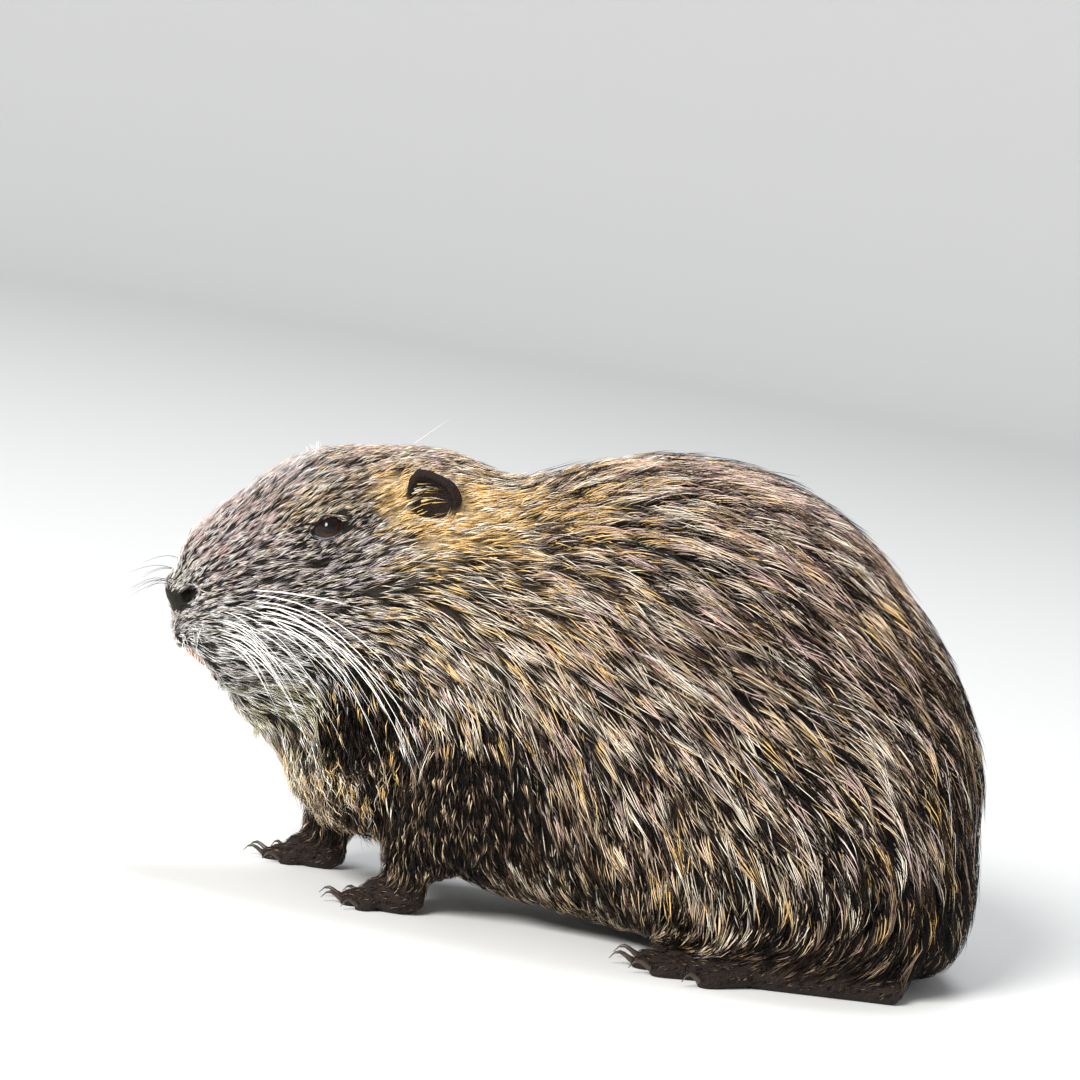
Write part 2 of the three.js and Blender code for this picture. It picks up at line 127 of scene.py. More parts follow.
# %% A clean start for every piece
def deselect():
    bpy.ops.object.select_all(action="DESELECT")


def only(obj):
    deselect()
    obj.select_set(True)
    bpy.context.view_layer.objects.active = obj
    return obj


def apply_all(obj):
    only(obj)
    for modifier in list(obj.modifiers):
        bpy.ops.object.modifier_apply(modifier=modifier.name)


@contextmanager
def editing(obj, action=None):
    """Edit mode on one object, with a first action on its selection if one is named."""
    only(obj)
    bpy.ops.object.mode_set(mode="EDIT")
    if action:
        bpy.ops.mesh.select_all(action=action)
    yield
    bpy.ops.object.mode_set(mode="OBJECT")


def select_only(obj, kind, items, chosen):
    """Leaves just the chosen points or faces of the object selected."""
    with editing(obj):
        bpy.ops.mesh.select_mode(type=kind)
        bpy.ops.mesh.select_all(action="DESELECT")
    getattr(obj.data, items).foreach_set("select", chosen)


def read(items, name, width=3, kind=float):
    """One property of many items, as an array with this many columns."""
    flat = np.empty(len(items) * width, kind)
    items.foreach_get(name, flat)
    return flat.reshape(-1, width)


def points_of(obj):
    return read(obj.data.vertices, "co")


def put_points(obj, points):
    obj.data.vertices.foreach_set("co", points.astype(np.float32).ravel())
    obj.data.update()


def weigh(obj, name, weights, levels=40):
    """A vertex group from an array of weights, rounded to a number of levels so that it is quick to fill."""
    group = obj.vertex_groups.new(name=name)
    level = np.rint(np.clip(weights, 0, 1) * levels).astype(int)
    for step in range(1, levels + 1):
        chosen = np.nonzero(level == step)[0]
        if len(chosen):
            group.add(chosen.tolist(), step / levels, "REPLACE")


def paint(mesh, name, colours):
    """A colour for each point, under a name that a finish can look up."""
    layer = mesh.attributes.new(name, "FLOAT_COLOR", "POINT")
    with_alpha = np.hstack([colours, np.ones((len(colours), 1))])
    layer.data.foreach_set("color", with_alpha.astype(np.float32).ravel())


def smooth_step(value, low, high):
    """0 below low, 1 above high, and an easy S between them."""
    t = np.clip((value - low) / (high - low), 0, 1)
    return t * t * (3 - 2 * t)


def bell(value, middle, width):
    """1 at the middle, falling away smoothly on both sides."""
    return np.exp(-(((value - middle) / width) ** 2))


def unit(ways):
    return ways / np.maximum(np.linalg.norm(ways, axis=-1, keepdims=True), 1e-12)


# %% [markdown]
# ## The skin, out of the frame's solids
#
# On the animal the skin runs without a seam from the nose to the tail, so it can't be a row of separate
# parts. It could be sculpted afresh, but then the figure's sizes would drift. Instead the frame's soft
# parts are copied and joined, and a voxel remesh wraps them in one surface, as a plaster shell is laid over
# a carved core. The eyes go in too, so that the sockets close and the lids can be cut from a full surface.

# %% Join the soft parts and wrap them
TAIL_PARTS = [f"tail_{i}" for i in range(1, 5)]
PAIRED = ("haunch", "foreleg", "forepaw", "hindfoot", "ear")
FLESH = ["head", "neck", "trunk", "rump", "nose"] + TAIL_PARTS
FLESH += [f"{part}_{side}" for part in PAIRED for side in SIDES]
WRAP = 0.55
VOXEL = 1.2


def copy_of(node):
    """A loose copy of a frame solid, with its doubled points merged."""
    original = frame["nodes"][node]
    copy = bpy.data.objects.new(f"copy_{node}", original.data.copy())
    bpy.context.collection.objects.link(copy)
    copy.data.materials.clear()
    with editing(copy, "SELECT"):
        bpy.ops.mesh.remove_doubles(threshold=1e-6)
    return copy


def joined(name, parts):
    deselect()
    for part in parts:
        part.select_set(True)
    bpy.context.view_layer.objects.active = parts[0]
    bpy.ops.object.join()
    parts[0].name = name
    return parts[0]


deselect()
wrapped = FLESH + ["eye_left", "eye_right"]
copies = [copy_of(node) for node in wrapped]
owner = np.repeat(np.arange(len(wrapped)), [len(copy.data.polygons) for copy in copies])
skin = joined("skin", copies)
core_tree = BVHTree.FromPolygons(
    [v.co for v in skin.data.vertices], [p.vertices for p in skin.data.polygons])
swell = skin.modifiers.new("swell", "DISPLACE")
swell.strength = WRAP * MM
swell.mid_level = 0
remesh = skin.modifiers.new("remesh", "REMESH")
remesh.mode = "VOXEL"
remesh.voxel_size = VOXEL * MM
apply_all(skin)
print("wrapped skin", len(skin.data.polygons), "faces")


# %% Which part of the body each point belongs to
def part_names(points):
    """The name of the frame solid nearest to each point."""
    nearest = np.array([core_tree.find_nearest(p)[2] for p in points])
    return np.array(wrapped)[owner[nearest]]


def share_of(names, *parts):
    """1 where a name starts with one of these parts, else 0."""
    return np.any([np.char.startswith(names, part) for part in parts], axis=0).astype(float)


def edges_of(obj):
    return read(obj.data.edges, "vertices", 2, np.int32)


def blurred(values, edges, rounds):
    """Values spread to their neighbours along the edges, a number of times."""
    ends = np.concatenate([edges[:, 0], edges[:, 1]])
    others = np.concatenate([edges[:, 1], edges[:, 0]])
    count = np.maximum(np.bincount(ends, minlength=len(values)), 1)
    for _ in range(rounds):
        values = (values + np.bincount(ends, values[others], len(values)) / count) / 2
    return values


# %% [markdown]
# ## Smooth away the facets
#
# The solids are faceted, with flats of one to two centimetres. A Smooth modifier melts them. A vertex group
# says how much, part by part: the trunk can take a lot, the paws, ears and tail would lose their shape.

# %% Smooth each part as much as it can take
SPREAD = {"trunk": 9, "rump": 9, "neck": 8, "haunch": 8, "head": 4, "foreleg": 4, "nose": 4, "eye": 3}
SPREAD |= {"tail": 2.2, "forepaw": 1.5, "hindfoot": 1.9, "ear": 0.9}
MOST = max(SPREAD.values())
ROUNDS = 225
SPREAD_BLUR = 12


def drop_crumbs(obj):
    """Keeps the one big closed surface and deletes the specks that a remesh leaves inside it."""
    heights = points_of(obj)[:, 2]
    select_only(obj, "VERT", "vertices", np.arange(len(heights)) == np.argmax(heights))
    with editing(obj):
        bpy.ops.mesh.select_linked()
        bpy.ops.mesh.select_all(action="INVERT")
        bpy.ops.mesh.delete(type="VERT")


drop_crumbs(skin)
names = part_names(points_of(skin))
spread = sum(share_of(names, part) * value for part, value in SPREAD.items())
spread = blurred(spread, edges_of(skin), SPREAD_BLUR)
weigh(skin, "softness", (spread / MOST) ** 2)
melt = skin.modifiers.new("melt", "SMOOTH")
melt.factor = 0.5
melt.iterations = ROUNDS
melt.vertex_group = "softness"
apply_all(skin)
print("smoothed", len(skin.data.vertices), "points")

# %% Thin the mesh where the coat hides it
KEEP = 0.24
FINEST = 0.06
weigh(skin, "coarse", FINEST + (1 - FINEST) * smooth_step(spread, 4, 7))
thin = skin.modifiers.new("thin", "DECIMATE")
thin.ratio = KEEP
thin.vertex_group = "coarse"
apply_all(skin)
skin.vertex_groups.clear()
print("thinned to", len(skin.data.polygons), "faces")

# %% [markdown]
# ## What the coat is like, place by place
#
# A coypu's coat changes over the body: a few millimetres of pale plush on the lips, ochre behind the ears,
# long wet guard hair on the back. It could be painted on, but then skin and locks would have to be painted
# alike. Instead a few kinds of coat are written down once, each with its depth, length, width and mixture
# of hairs, and the named places of the body say which kind grows there and which way it lies. Everything
# between is blended.

# %% The colours of single hairs
HAIR = {
    "black": "#100c0a",
    "umber": "#33241b",
    "brown": "#86705d",
    "rose": "#d6b8af",
    "grey": "#cfc4c4",
    "tan": "#e2c9a6",
    "cream": "#faeedc",
    "ochre": "#ffd48c",
    "white": "#fffdf8",
    "moss": "#b7b38c",
}


def linear(code):
    """A web colour as the linear red, green and blue that shaders use."""
    shares = [int(code[i : i + 2], 16) / 255 for i in (1, 3, 5)]
    return np.array([s / 12.92 if s < 0.04 else ((s + 0.055) / 1.055) ** 2.4 for s in shares])


def hair_index(name):
    return list(HAIR).index(name)


HAIR_COLOURS = np.array([linear(code) for code in HAIR.values()])

# %% Kinds of coat: depth, length and width in mm, then parts of each hair colour
COATS = {
    "bridge": (1.0, 6.5, 0.27, {"umber": 1, "rose": 11, "grey": 4, "white": 6}),
    "forehead": (1.8, 9.0, 0.29, {"umber": 1, "rose": 7, "grey": 9, "white": 11}),
    "crown": (2.8, 11.0, 0.35, {"black": 1, "umber": 1, "rose": 5, "tan": 3, "cream": 6}),
    "brow": (1.2, 6.5, 0.28, {"umber": 3, "brown": 1, "tan": 6, "cream": 3}),
    "lip": (1.4, 8.0, 0.27, {"black": 3, "umber": 3, "grey": 2, "white": 8}),
    "snout": (0.8, 4.6, 0.24, {"umber": 1, "grey": 4, "cream": 3, "white": 4}),
    "chin": (2.2, 10.5, 0.32, {"umber": 3, "brown": 1, "moss": 6, "white": 4}),
    "cheek": (2.0, 10.0, 0.29, {"black": 1, "umber": 3, "grey": 6, "cream": 4}),
    "lid_fur": (0.7, 4.6, 0.25, {"black": 3, "umber": 5, "grey": 3, "cream": 1}),
    "jowl": (4.5, 16.0, 0.38, {"black": 2, "umber": 2, "tan": 5, "cream": 7, "ochre": 2}),
    "ear_patch": (3.2, 13.0, 0.42, {"ochre": 14, "cream": 5}),
    "nape": (5.5, 16.0, 0.5, {"black": 5, "brown": 1, "tan": 6, "ochre": 2, "cream": 4}),
    "neck": (6.5, 20.0, 0.52, {"black": 3, "umber": 1, "tan": 5, "rose": 2, "cream": 7, "ochre": 2}),
    "throat": (4.5, 11.0, 0.5, {"black": 8, "umber": 3, "ochre": 1}),
    "shoulder": (7.0, 21.0, 0.54, {"black": 1, "tan": 9, "rose": 1, "cream": 11, "ochre": 2}),
    "chest": (6.0, 15.0, 0.48, {"umber": 4, "brown": 2, "tan": 6, "cream": 4, "ochre": 1}),
    "back": (7.0, 23.0, 0.56, {"black": 3, "rose": 12, "tan": 3, "cream": 5}),
    "flank": (7.5, 22.0, 0.54, {"black": 2, "umber": 1, "tan": 5, "rose": 6, "cream": 6}),
    "low_flank": (7.0, 20.0, 0.56, {"black": 2, "umber": 4, "tan": 6, "ochre": 1, "cream": 2}),
    "haunch": (8.0, 23.0, 0.58, {"black": 13, "umber": 5, "brown": 2, "tan": 3, "ochre": 1}),
    "rump": (8.0, 23.0, 0.6, {"black": 7, "umber": 3, "brown": 3, "tan": 3, "ochre": 2}),
    # Painted shade: this near-black mixture darkens the coat low on the rump, where shade falls.
    "shaded_low_rump": (7.0, 20.0, 0.62, {"black": 14, "umber": 1}),
    "belly": (5.0, 14.0, 0.6, {"black": 2, "umber": 4, "brown": 2, "tan": 1}),
    "leg": (3.0, 9.0, 0.48, {"black": 5, "umber": 4, "brown": 2, "tan": 1}),
    "foot": (0.5, 3.4, 0.3, {"black": 3, "umber": 5, "brown": 2}),
    "tail": (0.3, 5.0, 0.22, {"black": 3, "umber": 3, "brown": 3, "tan": 2}),
}

# %% Places on the head, in mm back, out and up, and the lie of the coat there
HEAD_PLACES = [
    ("bridge", (-58, 8, 27), (1, 0.1, 0.15)),
    ("snout", (-74, 9, 24), (1, 0.25, 0.35)),
    ("snout", (-72, 12, 12), (1, 0.5, -0.1)),
    ("bridge", (-38, 12, 34), (1, 0.1, 0.25)),
    ("forehead", (-15, 8, 46), (1, 0.1, 0.3)),
    ("crown", (15, 10, 46), (1, 0.1, 0)),
    ("crown", (40, 12, 40), (1, 0.15, -0.15)),
    ("brow", (-16, 26, 37), (1, 0.15, 0.25)),
    ("brow", (0, 32, 34), (1, 0.1, 0.05)),
    ("lid_fur", (-18, 27, 25), (1, 0.1, 0.1)),
    ("lid_fur", (5, 32, 27), (1, 0.1, 0)),
    ("cheek", (-22, 28, 16), (1, 0.1, -0.12)),
    ("cheek", (-45, 22, 14), (1, 0.25, 0.05)),
    ("cheek", (2, 35, 14), (1, 0.1, -0.12)),
    ("jowl", (22, 38, 8), (1, 0.1, -0.25)),
    ("ear_patch", (20, 30, 34), (1, 0.15, -0.05)),
    ("ear_patch", (22, 36, 22), (1, 0.1, -0.1)),
    ("ear_patch", (38, 47, 6), (1, 0.1, -0.3)),
    ("ear_patch", (56, 52, 6), (1, 0, -0.35)),
    ("ear_patch", (56, 38, 24), (1, 0, -0.25)),
    ("jowl", (8, 38, -14), (1, 0.05, -0.4)),
    ("jowl", (30, 44, -20), (1, 0, -0.5)),
    ("cheek", (-20, 32, -8), (1, 0.15, -0.3)),
    ("lip", (-60, 23, 0), (1, 0.35, -0.35)),
    ("lip", (-70, 14, -6), (0.8, 0.4, -0.7)),
    ("lip", (-50, 24, -14), (1, 0.2, -0.5)),
    ("chin", (-52, 12, -34), (1, 0.2, -0.5)),
    ("chin", (-40, 16, -42), (1, 0.1, -0.45)),
    ("throat", (-15, 12, -50), (1, 0, -0.2)),
    ("throat", (10, 22, -52), (1, 0, -0.3)),
]

# %% Places on the body, in mm along, out from the midline and up, and the lie of the coat there
BODY_PLACES = [
    ("nape", (-55, 14, 190), (1, 0.1, -0.15)),
    ("nape", (-30, 30, 188), (1, 0.15, -0.15)),
    ("neck", (-52, 52, 158), (1, 0.1, -0.35)),
    ("neck", (-62, 52, 125), (1, 0, -0.5)),
    ("throat", (-100, 12, 92), (0.35, 0, -1)),
    ("shoulder", (-32, 66, 118), (1, 0, -0.48)),
    ("shoulder", (-45, 66, 82), (0.85, 0, -0.7)),
    ("chest", (-118, 12, 62), (0.05, 0, -1)),
    ("chest", (-108, 28, 46), (0.1, 0, -1)),
    ("throat", (-98, 40, 80), (0.5, 0, -1)),
    ("throat", (-86, 48, 66), (0.5, 0, -1)),
    ("throat", (-80, 50, 46), (0.4, 0, -1)),
    ("back", (0, 14, 206), (1, 0.05, 0.02)),
    ("back", (45, 14, 209), (1, 0.05, -0.12)),
    ("back", (85, 16, 192), (1, 0.05, -0.45)),
    ("back", (20, 52, 188), (1, 0.15, -0.16)),
    ("flank", (10, 74, 150), (1, 0.05, -0.2)),
    ("flank", (55, 74, 140), (1, 0, -0.3)),
    ("flank", (15, 78, 110), (1, 0, -0.34)),
    ("flank", (-5, 74, 80), (1, 0, -0.46)),
    ("low_flank", (20, 74, 52), (1, 0, -0.5)),
    ("low_flank", (-20, 66, 40), (1, 0, -0.6)),
    ("low_flank", (50, 76, 30), (1, 0, -0.55)),
    ("rump", (115, 30, 160), (0.85, 0.05, -0.7)),
    ("back", (98, 40, 172), (0.9, 0.05, -0.6)),
    ("flank", (98, 62, 130), (1, 0, -0.55)),
    ("flank", (65, 78, 92), (1, 0, -0.5)),
    ("haunch", (88, 80, 102), (0.95, 0, -0.55)),
    ("haunch", (104, 84, 82), (0.9, 0, -0.6)),
    ("haunch", (135, 62, 80), (0.6, 0, -0.9)),
    ("rump", (150, 40, 105), (0.45, 0, -1)),
    ("rump", (170, 12, 110), (0.25, 0, -1)),
    # Low on the rump the coat is painted near-black as painted shade.
    ("shaded_low_rump", (176, 24, 50), (0.1, 0, -1)),
    ("shaded_low_rump", (150, 60, 45), (0.3, 0, -1)),
    ("shaded_low_rump", (168, 45, 24), (0.2, 0, -1)),
    ("shaded_low_rump", (172, 30, 78), (0.15, 0, -1)),
    ("shaded_low_rump", (138, 78, 26), (0.4, 0, -1)),
    ("haunch", (85, 84, 50), (0.8, 0, -0.7)),
    ("shaded_low_rump", (110, 84, 18), (0.6, 0, -0.85)),
    ("belly", (20, 20, 6), (1, 0, 0)),
    ("belly", (-40, 20, 18), (1, 0, -0.2)),
]
PLACE_SHARPNESS = 5
LIMB_COATS = (("leg", "foreleg", (0.25, 0, -1)), ("foot", "forepaw", (-1, 0, -0.3)),
              ("foot", "hindfoot", (-1, 0, -0.3)))


def placed_coats():
    """Every place in the scene, on both sides: where it is, the way its hair lies, and its kind of coat."""
    for kind, (back, out, up), way in HEAD_PLACES:
        for sign in SIDES.values():
            yield head_place(back, out, up, sign), head_way(*way, sign), kind
    for kind, (along, out, up), way in BODY_PLACES:
        for sign in SIDES.values():
            spot = np.array([along * MM, MIDLINE + out * sign * MM, up * MM])
            yield spot, unit(np.array([way[0], way[1] * sign, way[2]])), kind


places = list(placed_coats())
place_spots = np.array([spot for spot, way, kind in places])
place_ways = np.array([way for spot, way, kind in places])
kinds = list(COATS)
mixtures = np.zeros((len(kinds), len(HAIR)))
for row, kind in enumerate(kinds):
    for colour, parts in COATS[kind][3].items():
        mixtures[row, hair_index(colour)] = parts
mixtures /= mixtures.sum(axis=1, keepdims=True)
sizes = np.array([COATS[kind][:3] for kind in kinds])
place_kinds = np.array([kinds.index(kind) for spot, way, kind in places])


def coat_at(points, names):
    """The lie, sizes and mixture of the coat at each point, blended from the places near it."""
    nearness = np.zeros((len(points), len(places)))
    for column, spot in enumerate(place_spots):
        distance = np.linalg.norm(points - spot, axis=1) / MM + 2
        nearness[:, column] = distance ** -float(PLACE_SHARPNESS)
    nearness /= nearness.sum(axis=1, keepdims=True)
    way = unit(nearness @ place_ways)
    size = nearness @ sizes[place_kinds]
    mixture = nearness @ mixtures[place_kinds]
    for kind, part, down in LIMB_COATS:
        share = share_of(names, part)[:, None]
        row = kinds.index(kind)
        way = unit(way * (1 - share) + np.array(down) * share)
        size = size * (1 - share) + sizes[row] * share
        mixture = mixture * (1 - share) + mixtures[row] * share
    return way, size, mixture

# %% [markdown]
# ## Eyelids, nostrils and lips
#
# The wrapped skin is a full surface over the eyeballs, with no opening. Lids could be separate rings, but
# then a seam would show. Here the faces round the eyes, nose and mouth are divided first, and then each
# point near an eye moves straight out from or in towards the eye's middle: inside an almond outline it
# sinks behind the ball, on the outline it stands one lid's thickness over the ball, and further out it
# eases back to the face. Nostrils are dug along their axes.

# %% Divide the faces where small shapes come
NOSTRIL = (-71.4, 11.4, 17.6)
FINE_SPOTS = [(EYE_PLACE, 11, 2), (NOSTRIL, 9, 1), ((-77, 7, -12), 16, 1)]


def divide_near(obj, spot, reach, cuts):
    """Divides the faces within reach mm of a place on the head, on both sides."""
    centres = as_on_head(read(obj.data.polygons, "center"))
    centres[:, 1] = np.abs(centres[:, 1])
    chosen = np.linalg.norm(centres - np.array(spot), axis=1) < reach
    select_only(obj, "FACE", "polygons", chosen)
    with editing(obj):
        bpy.ops.mesh.subdivide(number_cuts=cuts, smoothness=0)
        bpy.ops.mesh.select_all(action="SELECT")
        bpy.ops.mesh.quads_convert_to_tris()


for spot, reach, cuts in FINE_SPOTS:
    divide_near(skin, spot, reach, cuts)
print("with fine places", len(skin.data.polygons), "faces")

# %% The lids
GAZE = (-0.03, 0.98, 0.18)
LID_RADIUS = EYE_RADIUS + 0.85
SOCKET_RADIUS = EYE_RADIUS - 1.6
HALF_LENGTH = 7.3
UPPER_HALF = 3.9
LOWER_HALF = 4.4
ROUNDNESS = 1.8
EYE_REACH = 17
FOLD = 0.8
FAR_RING = 9


def eye_axes(sign):
    """Columns: along the eye towards the ear, up across it, and the way it looks."""
    gaze = head_way(*GAZE, sign)
    along = head_way(1, 0, 0.02)
    along = unit(along - gaze * (along @ gaze))
    across = np.cross(gaze, along) * -sign
    return np.stack([along, across, gaze], axis=1)


def almond(points, sign):
    """How far out each point lies, with 1 for the lids' edge, its radius, and its place along and across."""
    local = (points - head_place(*EYE_PLACE, sign)) / MM @ eye_axes(sign)
    radius = np.linalg.norm(local, axis=1)
    along, across = (local[:, :2] * np.maximum(1, LID_RADIUS / radius)[:, None]).T
    half = np.where(across > 0, UPPER_HALF, LOWER_HALF)
    ring = (np.abs(along / HALF_LENGTH) ** ROUNDNESS + np.abs(across / half) ** ROUNDNESS) ** (1 / ROUNDNESS)
    return np.where((local[:, 2] > 0) & (radius < EYE_REACH + 3), ring, FAR_RING), radius, along, across


def shape_lids(points, sign):
    ring, radius, along, across = almond(points, sign)
    eased = 1 - smooth_step(ring, 1.25, 2.3)
    lid = LID_RADIUS - 0.35 * smooth_step(ring, 1.15, 1.9)
    fold = FOLD * bell(ring, 1.5, 0.13) * np.where(across > 0, 1, 0.5)
    target = radius * (1 - eased) + lid * eased - fold * eased ** 0.5
    opening = 1 - smooth_step(ring, 0.93, 1.04)
    target = target * (1 - opening) + SOCKET_RADIUS * opening
    target = np.where((ring < 2.4) & (radius < EYE_REACH), target, radius)
    middle = head_place(*EYE_PLACE, sign)
    return middle + (points - middle) * (target / radius)[:, None]


points = points_of(skin)
for sign in SIDES.values():
    points = shape_lids(points, sign)
put_points(skin, points)

# %% The nose, drawn in a little under its fur
NOSE_START = -76
NOSE_SHORTENING = 0.42
FILLING = 1.8
points = points_of(skin)
back, out, up = as_on_head(points).T
ahead = np.clip(NOSE_START - back, 0, None) * smooth_step(up, 2, 10)
filling = FILLING * bell(up, 7.5, 4) * smooth_step(-back, 70, 76) * (1 - smooth_step(np.abs(out), 8, 14))
points = points + head_way(1, 0, 0) * ((NOSE_SHORTENING * ahead - filling) * MM)[:, None]
put_points(skin, points)

# %% The nostrils and the groove between them
NOSTRIL_RADIUS = 3.7
NOSTRIL_DEPTH = 6.0
NOSTRIL_WAY = (-0.5, 0.85, 0.1)
NOSTRIL_RIM = 0.5
NOSTRIL_REACH = 6.5
GROOVE_DEPTH = 1.1
GROOVE_WIDTH = 1.1


def shape_nostril(points, sign):
    way = head_way(*NOSTRIL_WAY, sign)
    offset = (points - head_place(*NOSTRIL, sign)) / MM
    run = offset @ way
    across = offset - run[:, None] * way
    slant = across @ head_way(1, 0, 0.6, sign)
    distance = np.linalg.norm(across, axis=1) - 0.25 * np.clip(slant, 0, 4)
    near = np.abs(run) < NOSTRIL_REACH
    hole = (1 - smooth_step(distance, NOSTRIL_RADIUS - 1.1, NOSTRIL_RADIUS)) * near * NOSTRIL_DEPTH
    rim = NOSTRIL_RIM * bell(distance - NOSTRIL_RADIUS, 0.8, 0.8) * near
    return points + way * ((rim - hole) * MM)[:, None]


points = points_of(skin)
for sign in SIDES.values():
    points = shape_nostril(points, sign)
back, out, up = as_on_head(points).T
groove = GROOVE_DEPTH * bell(out, 0, GROOVE_WIDTH) * (back < -66)
groove = groove * smooth_step(up, -8, 0) * (1 - smooth_step(up, 14, 20))
points = points + head_way(1, 0, 0) * (groove * MM)[:, None]
put_points(skin, points)

# %% The lips, drawn back beside the teeth
MOUTH_SLOPE = math.radians(23)
MOUTH_TURN = np.array(Euler((0, -MOUTH_SLOPE, 0)).to_matrix())
UPPER_TEETH = (-77.5, 0, -9)
LIP_FRONT = 2.4
LIP_SLOPE = 0.1
MOST_RETREAT = 12


def as_on_teeth(points):
    """Scene places as mm back, out and up on the upper teeth, which slope."""
    return (as_on_head(points) - np.array(UPPER_TEETH)) @ MOUTH_TURN


back, out, up = as_on_teeth(points).T
limit = LIP_FRONT - LIP_SLOPE * (np.abs(out) - 6)
window = smooth_step(up, -18, -12) * (1 - smooth_step(up, 3, 10)) * (1 - smooth_step(np.abs(out), 18, 26))
retreat = np.clip(limit - back, 0, MOST_RETREAT) * window
retreat = blurred(retreat, edges_of(skin), 4)
points = points + (HEAD_AXES @ MOUTH_TURN)[:, 0] * (retreat * MM)[:, None]
put_points(skin, points)

# %% The ears, drawn narrower above, with the rim rolled a little outwards
EAR_NARROWING = 0.34
EAR_LEAN = 2.0
EAR_HEIGHT = 14


def shape_ear(points, names, side):
    sign = SIDES[side]
    middle = as_on_head(np.array([EARS[side]]))[0] * [1, sign, 1]
    back, out, up = (as_on_head(points) * [1, sign, 1] - middle).T
    mine = (names == f"ear_{side}").astype(float)
    mine = blurred(mine, edges_of(skin), 3)
    high = np.clip((up + 2) / EAR_HEIGHT, 0, 1) * mine
    narrower = back * (1 - EAR_NARROWING * high**2) - EAR_LEAN * high**2
    moved = np.stack([narrower, out + 1.2 * high**3, up + 0.6 * high], axis=1)
    return np.array(HEAD) + ((moved + middle) * [1, sign, 1]) @ HEAD_AXES.T * MM


names = part_names(points)
for side in SIDES:
    points = shape_ear(points, names, side)
put_points(skin, points)

# %% [markdown]
# ## An unwrap, and the skin sunk under its coat
#
# The surface so far is the coat's own outline. It is unwrapped now, because every lock of hair later takes
# its place in the picture from where its root is on this unwrap. A copy is kept as the form over which the
# locks are laid, and the skin itself sinks by the depth of the coat: almost nothing on the feet, nose and
# ears, and most on the rump.

# %% Unwrap
with editing(skin, "SELECT"):
    bpy.ops.uv.smart_project(angle_limit=math.radians(66), island_margin=0.002)
skin.data.uv_layers.active.name = "OFBake"

# %% The run of the tail, from its root round the right side to its tip
TAIL_LINE = np.array(
    [(148, 36), (170, 76), (168, 124), (144, 166), (102, 188), (56, 190), (16, 176), (-12, 152)], float)
TAIL_LINE[:, 1] += MIDLINE / MM


def along_tail(spots):
    """How far along the tail each spot is, in mm, and which way the tail runs there."""
    t = np.linspace(0, len(TAIL_LINE) - 1, 240)
    line = np.stack([np.interp(t, range(len(TAIL_LINE)), column) for column in TAIL_LINE.T], axis=1)
    kernel = np.ones(21) / 21
    padded = np.pad(line, ((10, 10), (0, 0)), mode="edge")
    line = np.stack([np.convolve(column, kernel, "valid") for column in padded.T], axis=1)
    steps = np.gradient(line, axis=0)
    run = np.concatenate([[0], np.cumsum(np.linalg.norm(np.diff(line, axis=0), axis=1))])
    nearest = np.argmin(((spots[:, None, :2] / MM - line) ** 2).sum(2), axis=1)
    offset = ((spots[:, :2] / MM - line[nearest]) * unit(steps[nearest])).sum(1)
    return run[nearest] + offset, np.hstack([unit(steps[nearest]), np.zeros((len(spots), 1))])


# %% The form that the locks lie on
form_points = points_of(skin)
form_normals = read(skin.data.vertex_normals, "vector")
form_faces = np.array([p.vertices for p in skin.data.polygons])
form_uv = read(skin.data.uv_layers["OFBake"].uv, "vector", 2).reshape(-1, 3, 2)
corners = form_points[form_faces] / MM
form_area = np.linalg.norm(np.cross(corners[:, 1] - corners[:, 0], corners[:, 2] - corners[:, 0]), axis=1) / 2
form_tree = BVHTree.FromPolygons(form_points.tolist(), form_faces.tolist())

names = part_names(form_points)
edges = edges_of(skin)
lie, size, mixture = coat_at(form_points, names)
on_tail = share_of(names, "tail") > 0
run, tail_way = along_tail(form_points[on_tail])
tail_row = kinds.index("tail")
lie[on_tail] = tail_way
size[on_tail] = sizes[tail_row]
mixture[on_tail] = mixtures[tail_row]
tail_run = np.zeros(len(form_points))
tail_run[on_tail] = run
size = np.stack([blurred(column, edges, 10) for column in size.T], axis=1)
mixture = np.stack([blurred(column, edges, 10) for column in mixture.T], axis=1)
lie = unit(np.stack([blurred(column, edges, 20) for column in lie.T], axis=1))
print("form area", round(form_area.sum() / 100), "cm2")

# %% Where no coat grows
PAD_MIDDLE = (-78, 16.3)
PAD_SIZE = (8.5, 13, 5.2)
BALD_DEPTH = 0.05
LID_DEPTH = 0.25
back, out, up = as_on_head(form_points).T
out = np.abs(out)
pad_distance = np.sqrt(((back - PAD_MIDDLE[0]) / PAD_SIZE[0]) ** 2 + (out / PAD_SIZE[1]) ** 2
                       + ((up - PAD_MIDDLE[1]) / PAD_SIZE[2]) ** 2)
pad = 1 - smooth_step(pad_distance, 0.92, 1.2)
rings = [almond(form_points, sign) for sign in SIDES.values()]
eye_ring = np.minimum(rings[0][0], rings[1][0])
# The lower lid's wet rim, which the skin's colours later paint blue-grey as a painted reflection.
lower_rim_reflection = np.max([bell(ring, 1.04, 0.07) * smooth_step(-across, 0.6, 1.8) * smooth_step(-along, -5, -3)
                    for ring, radius, along, across in rings], axis=0)
lids = 1 - smooth_step(eye_ring, 1.08, 1.28)
tooth_back, tooth_out, tooth_up = as_on_teeth(form_points).T
mouth = (1 - smooth_step(np.abs(tooth_out), 6.5, 8)) * smooth_step(tooth_up, -20, -17)
mouth *= 1 - smooth_step(tooth_up, 6, 9)
mouth *= tooth_back < 12
nostril_gap = np.minimum(*[
    np.linalg.norm(form_points - head_place(*NOSTRIL, sign), axis=1) for sign in SIDES.values()]) / MM
in_nostril = 1 - smooth_step(nostril_gap, 3.2, 4.6)
ear = blurred(share_of(names, "ear"), edges, 2)
tail = blurred(share_of(names, "tail"), edges, 3)
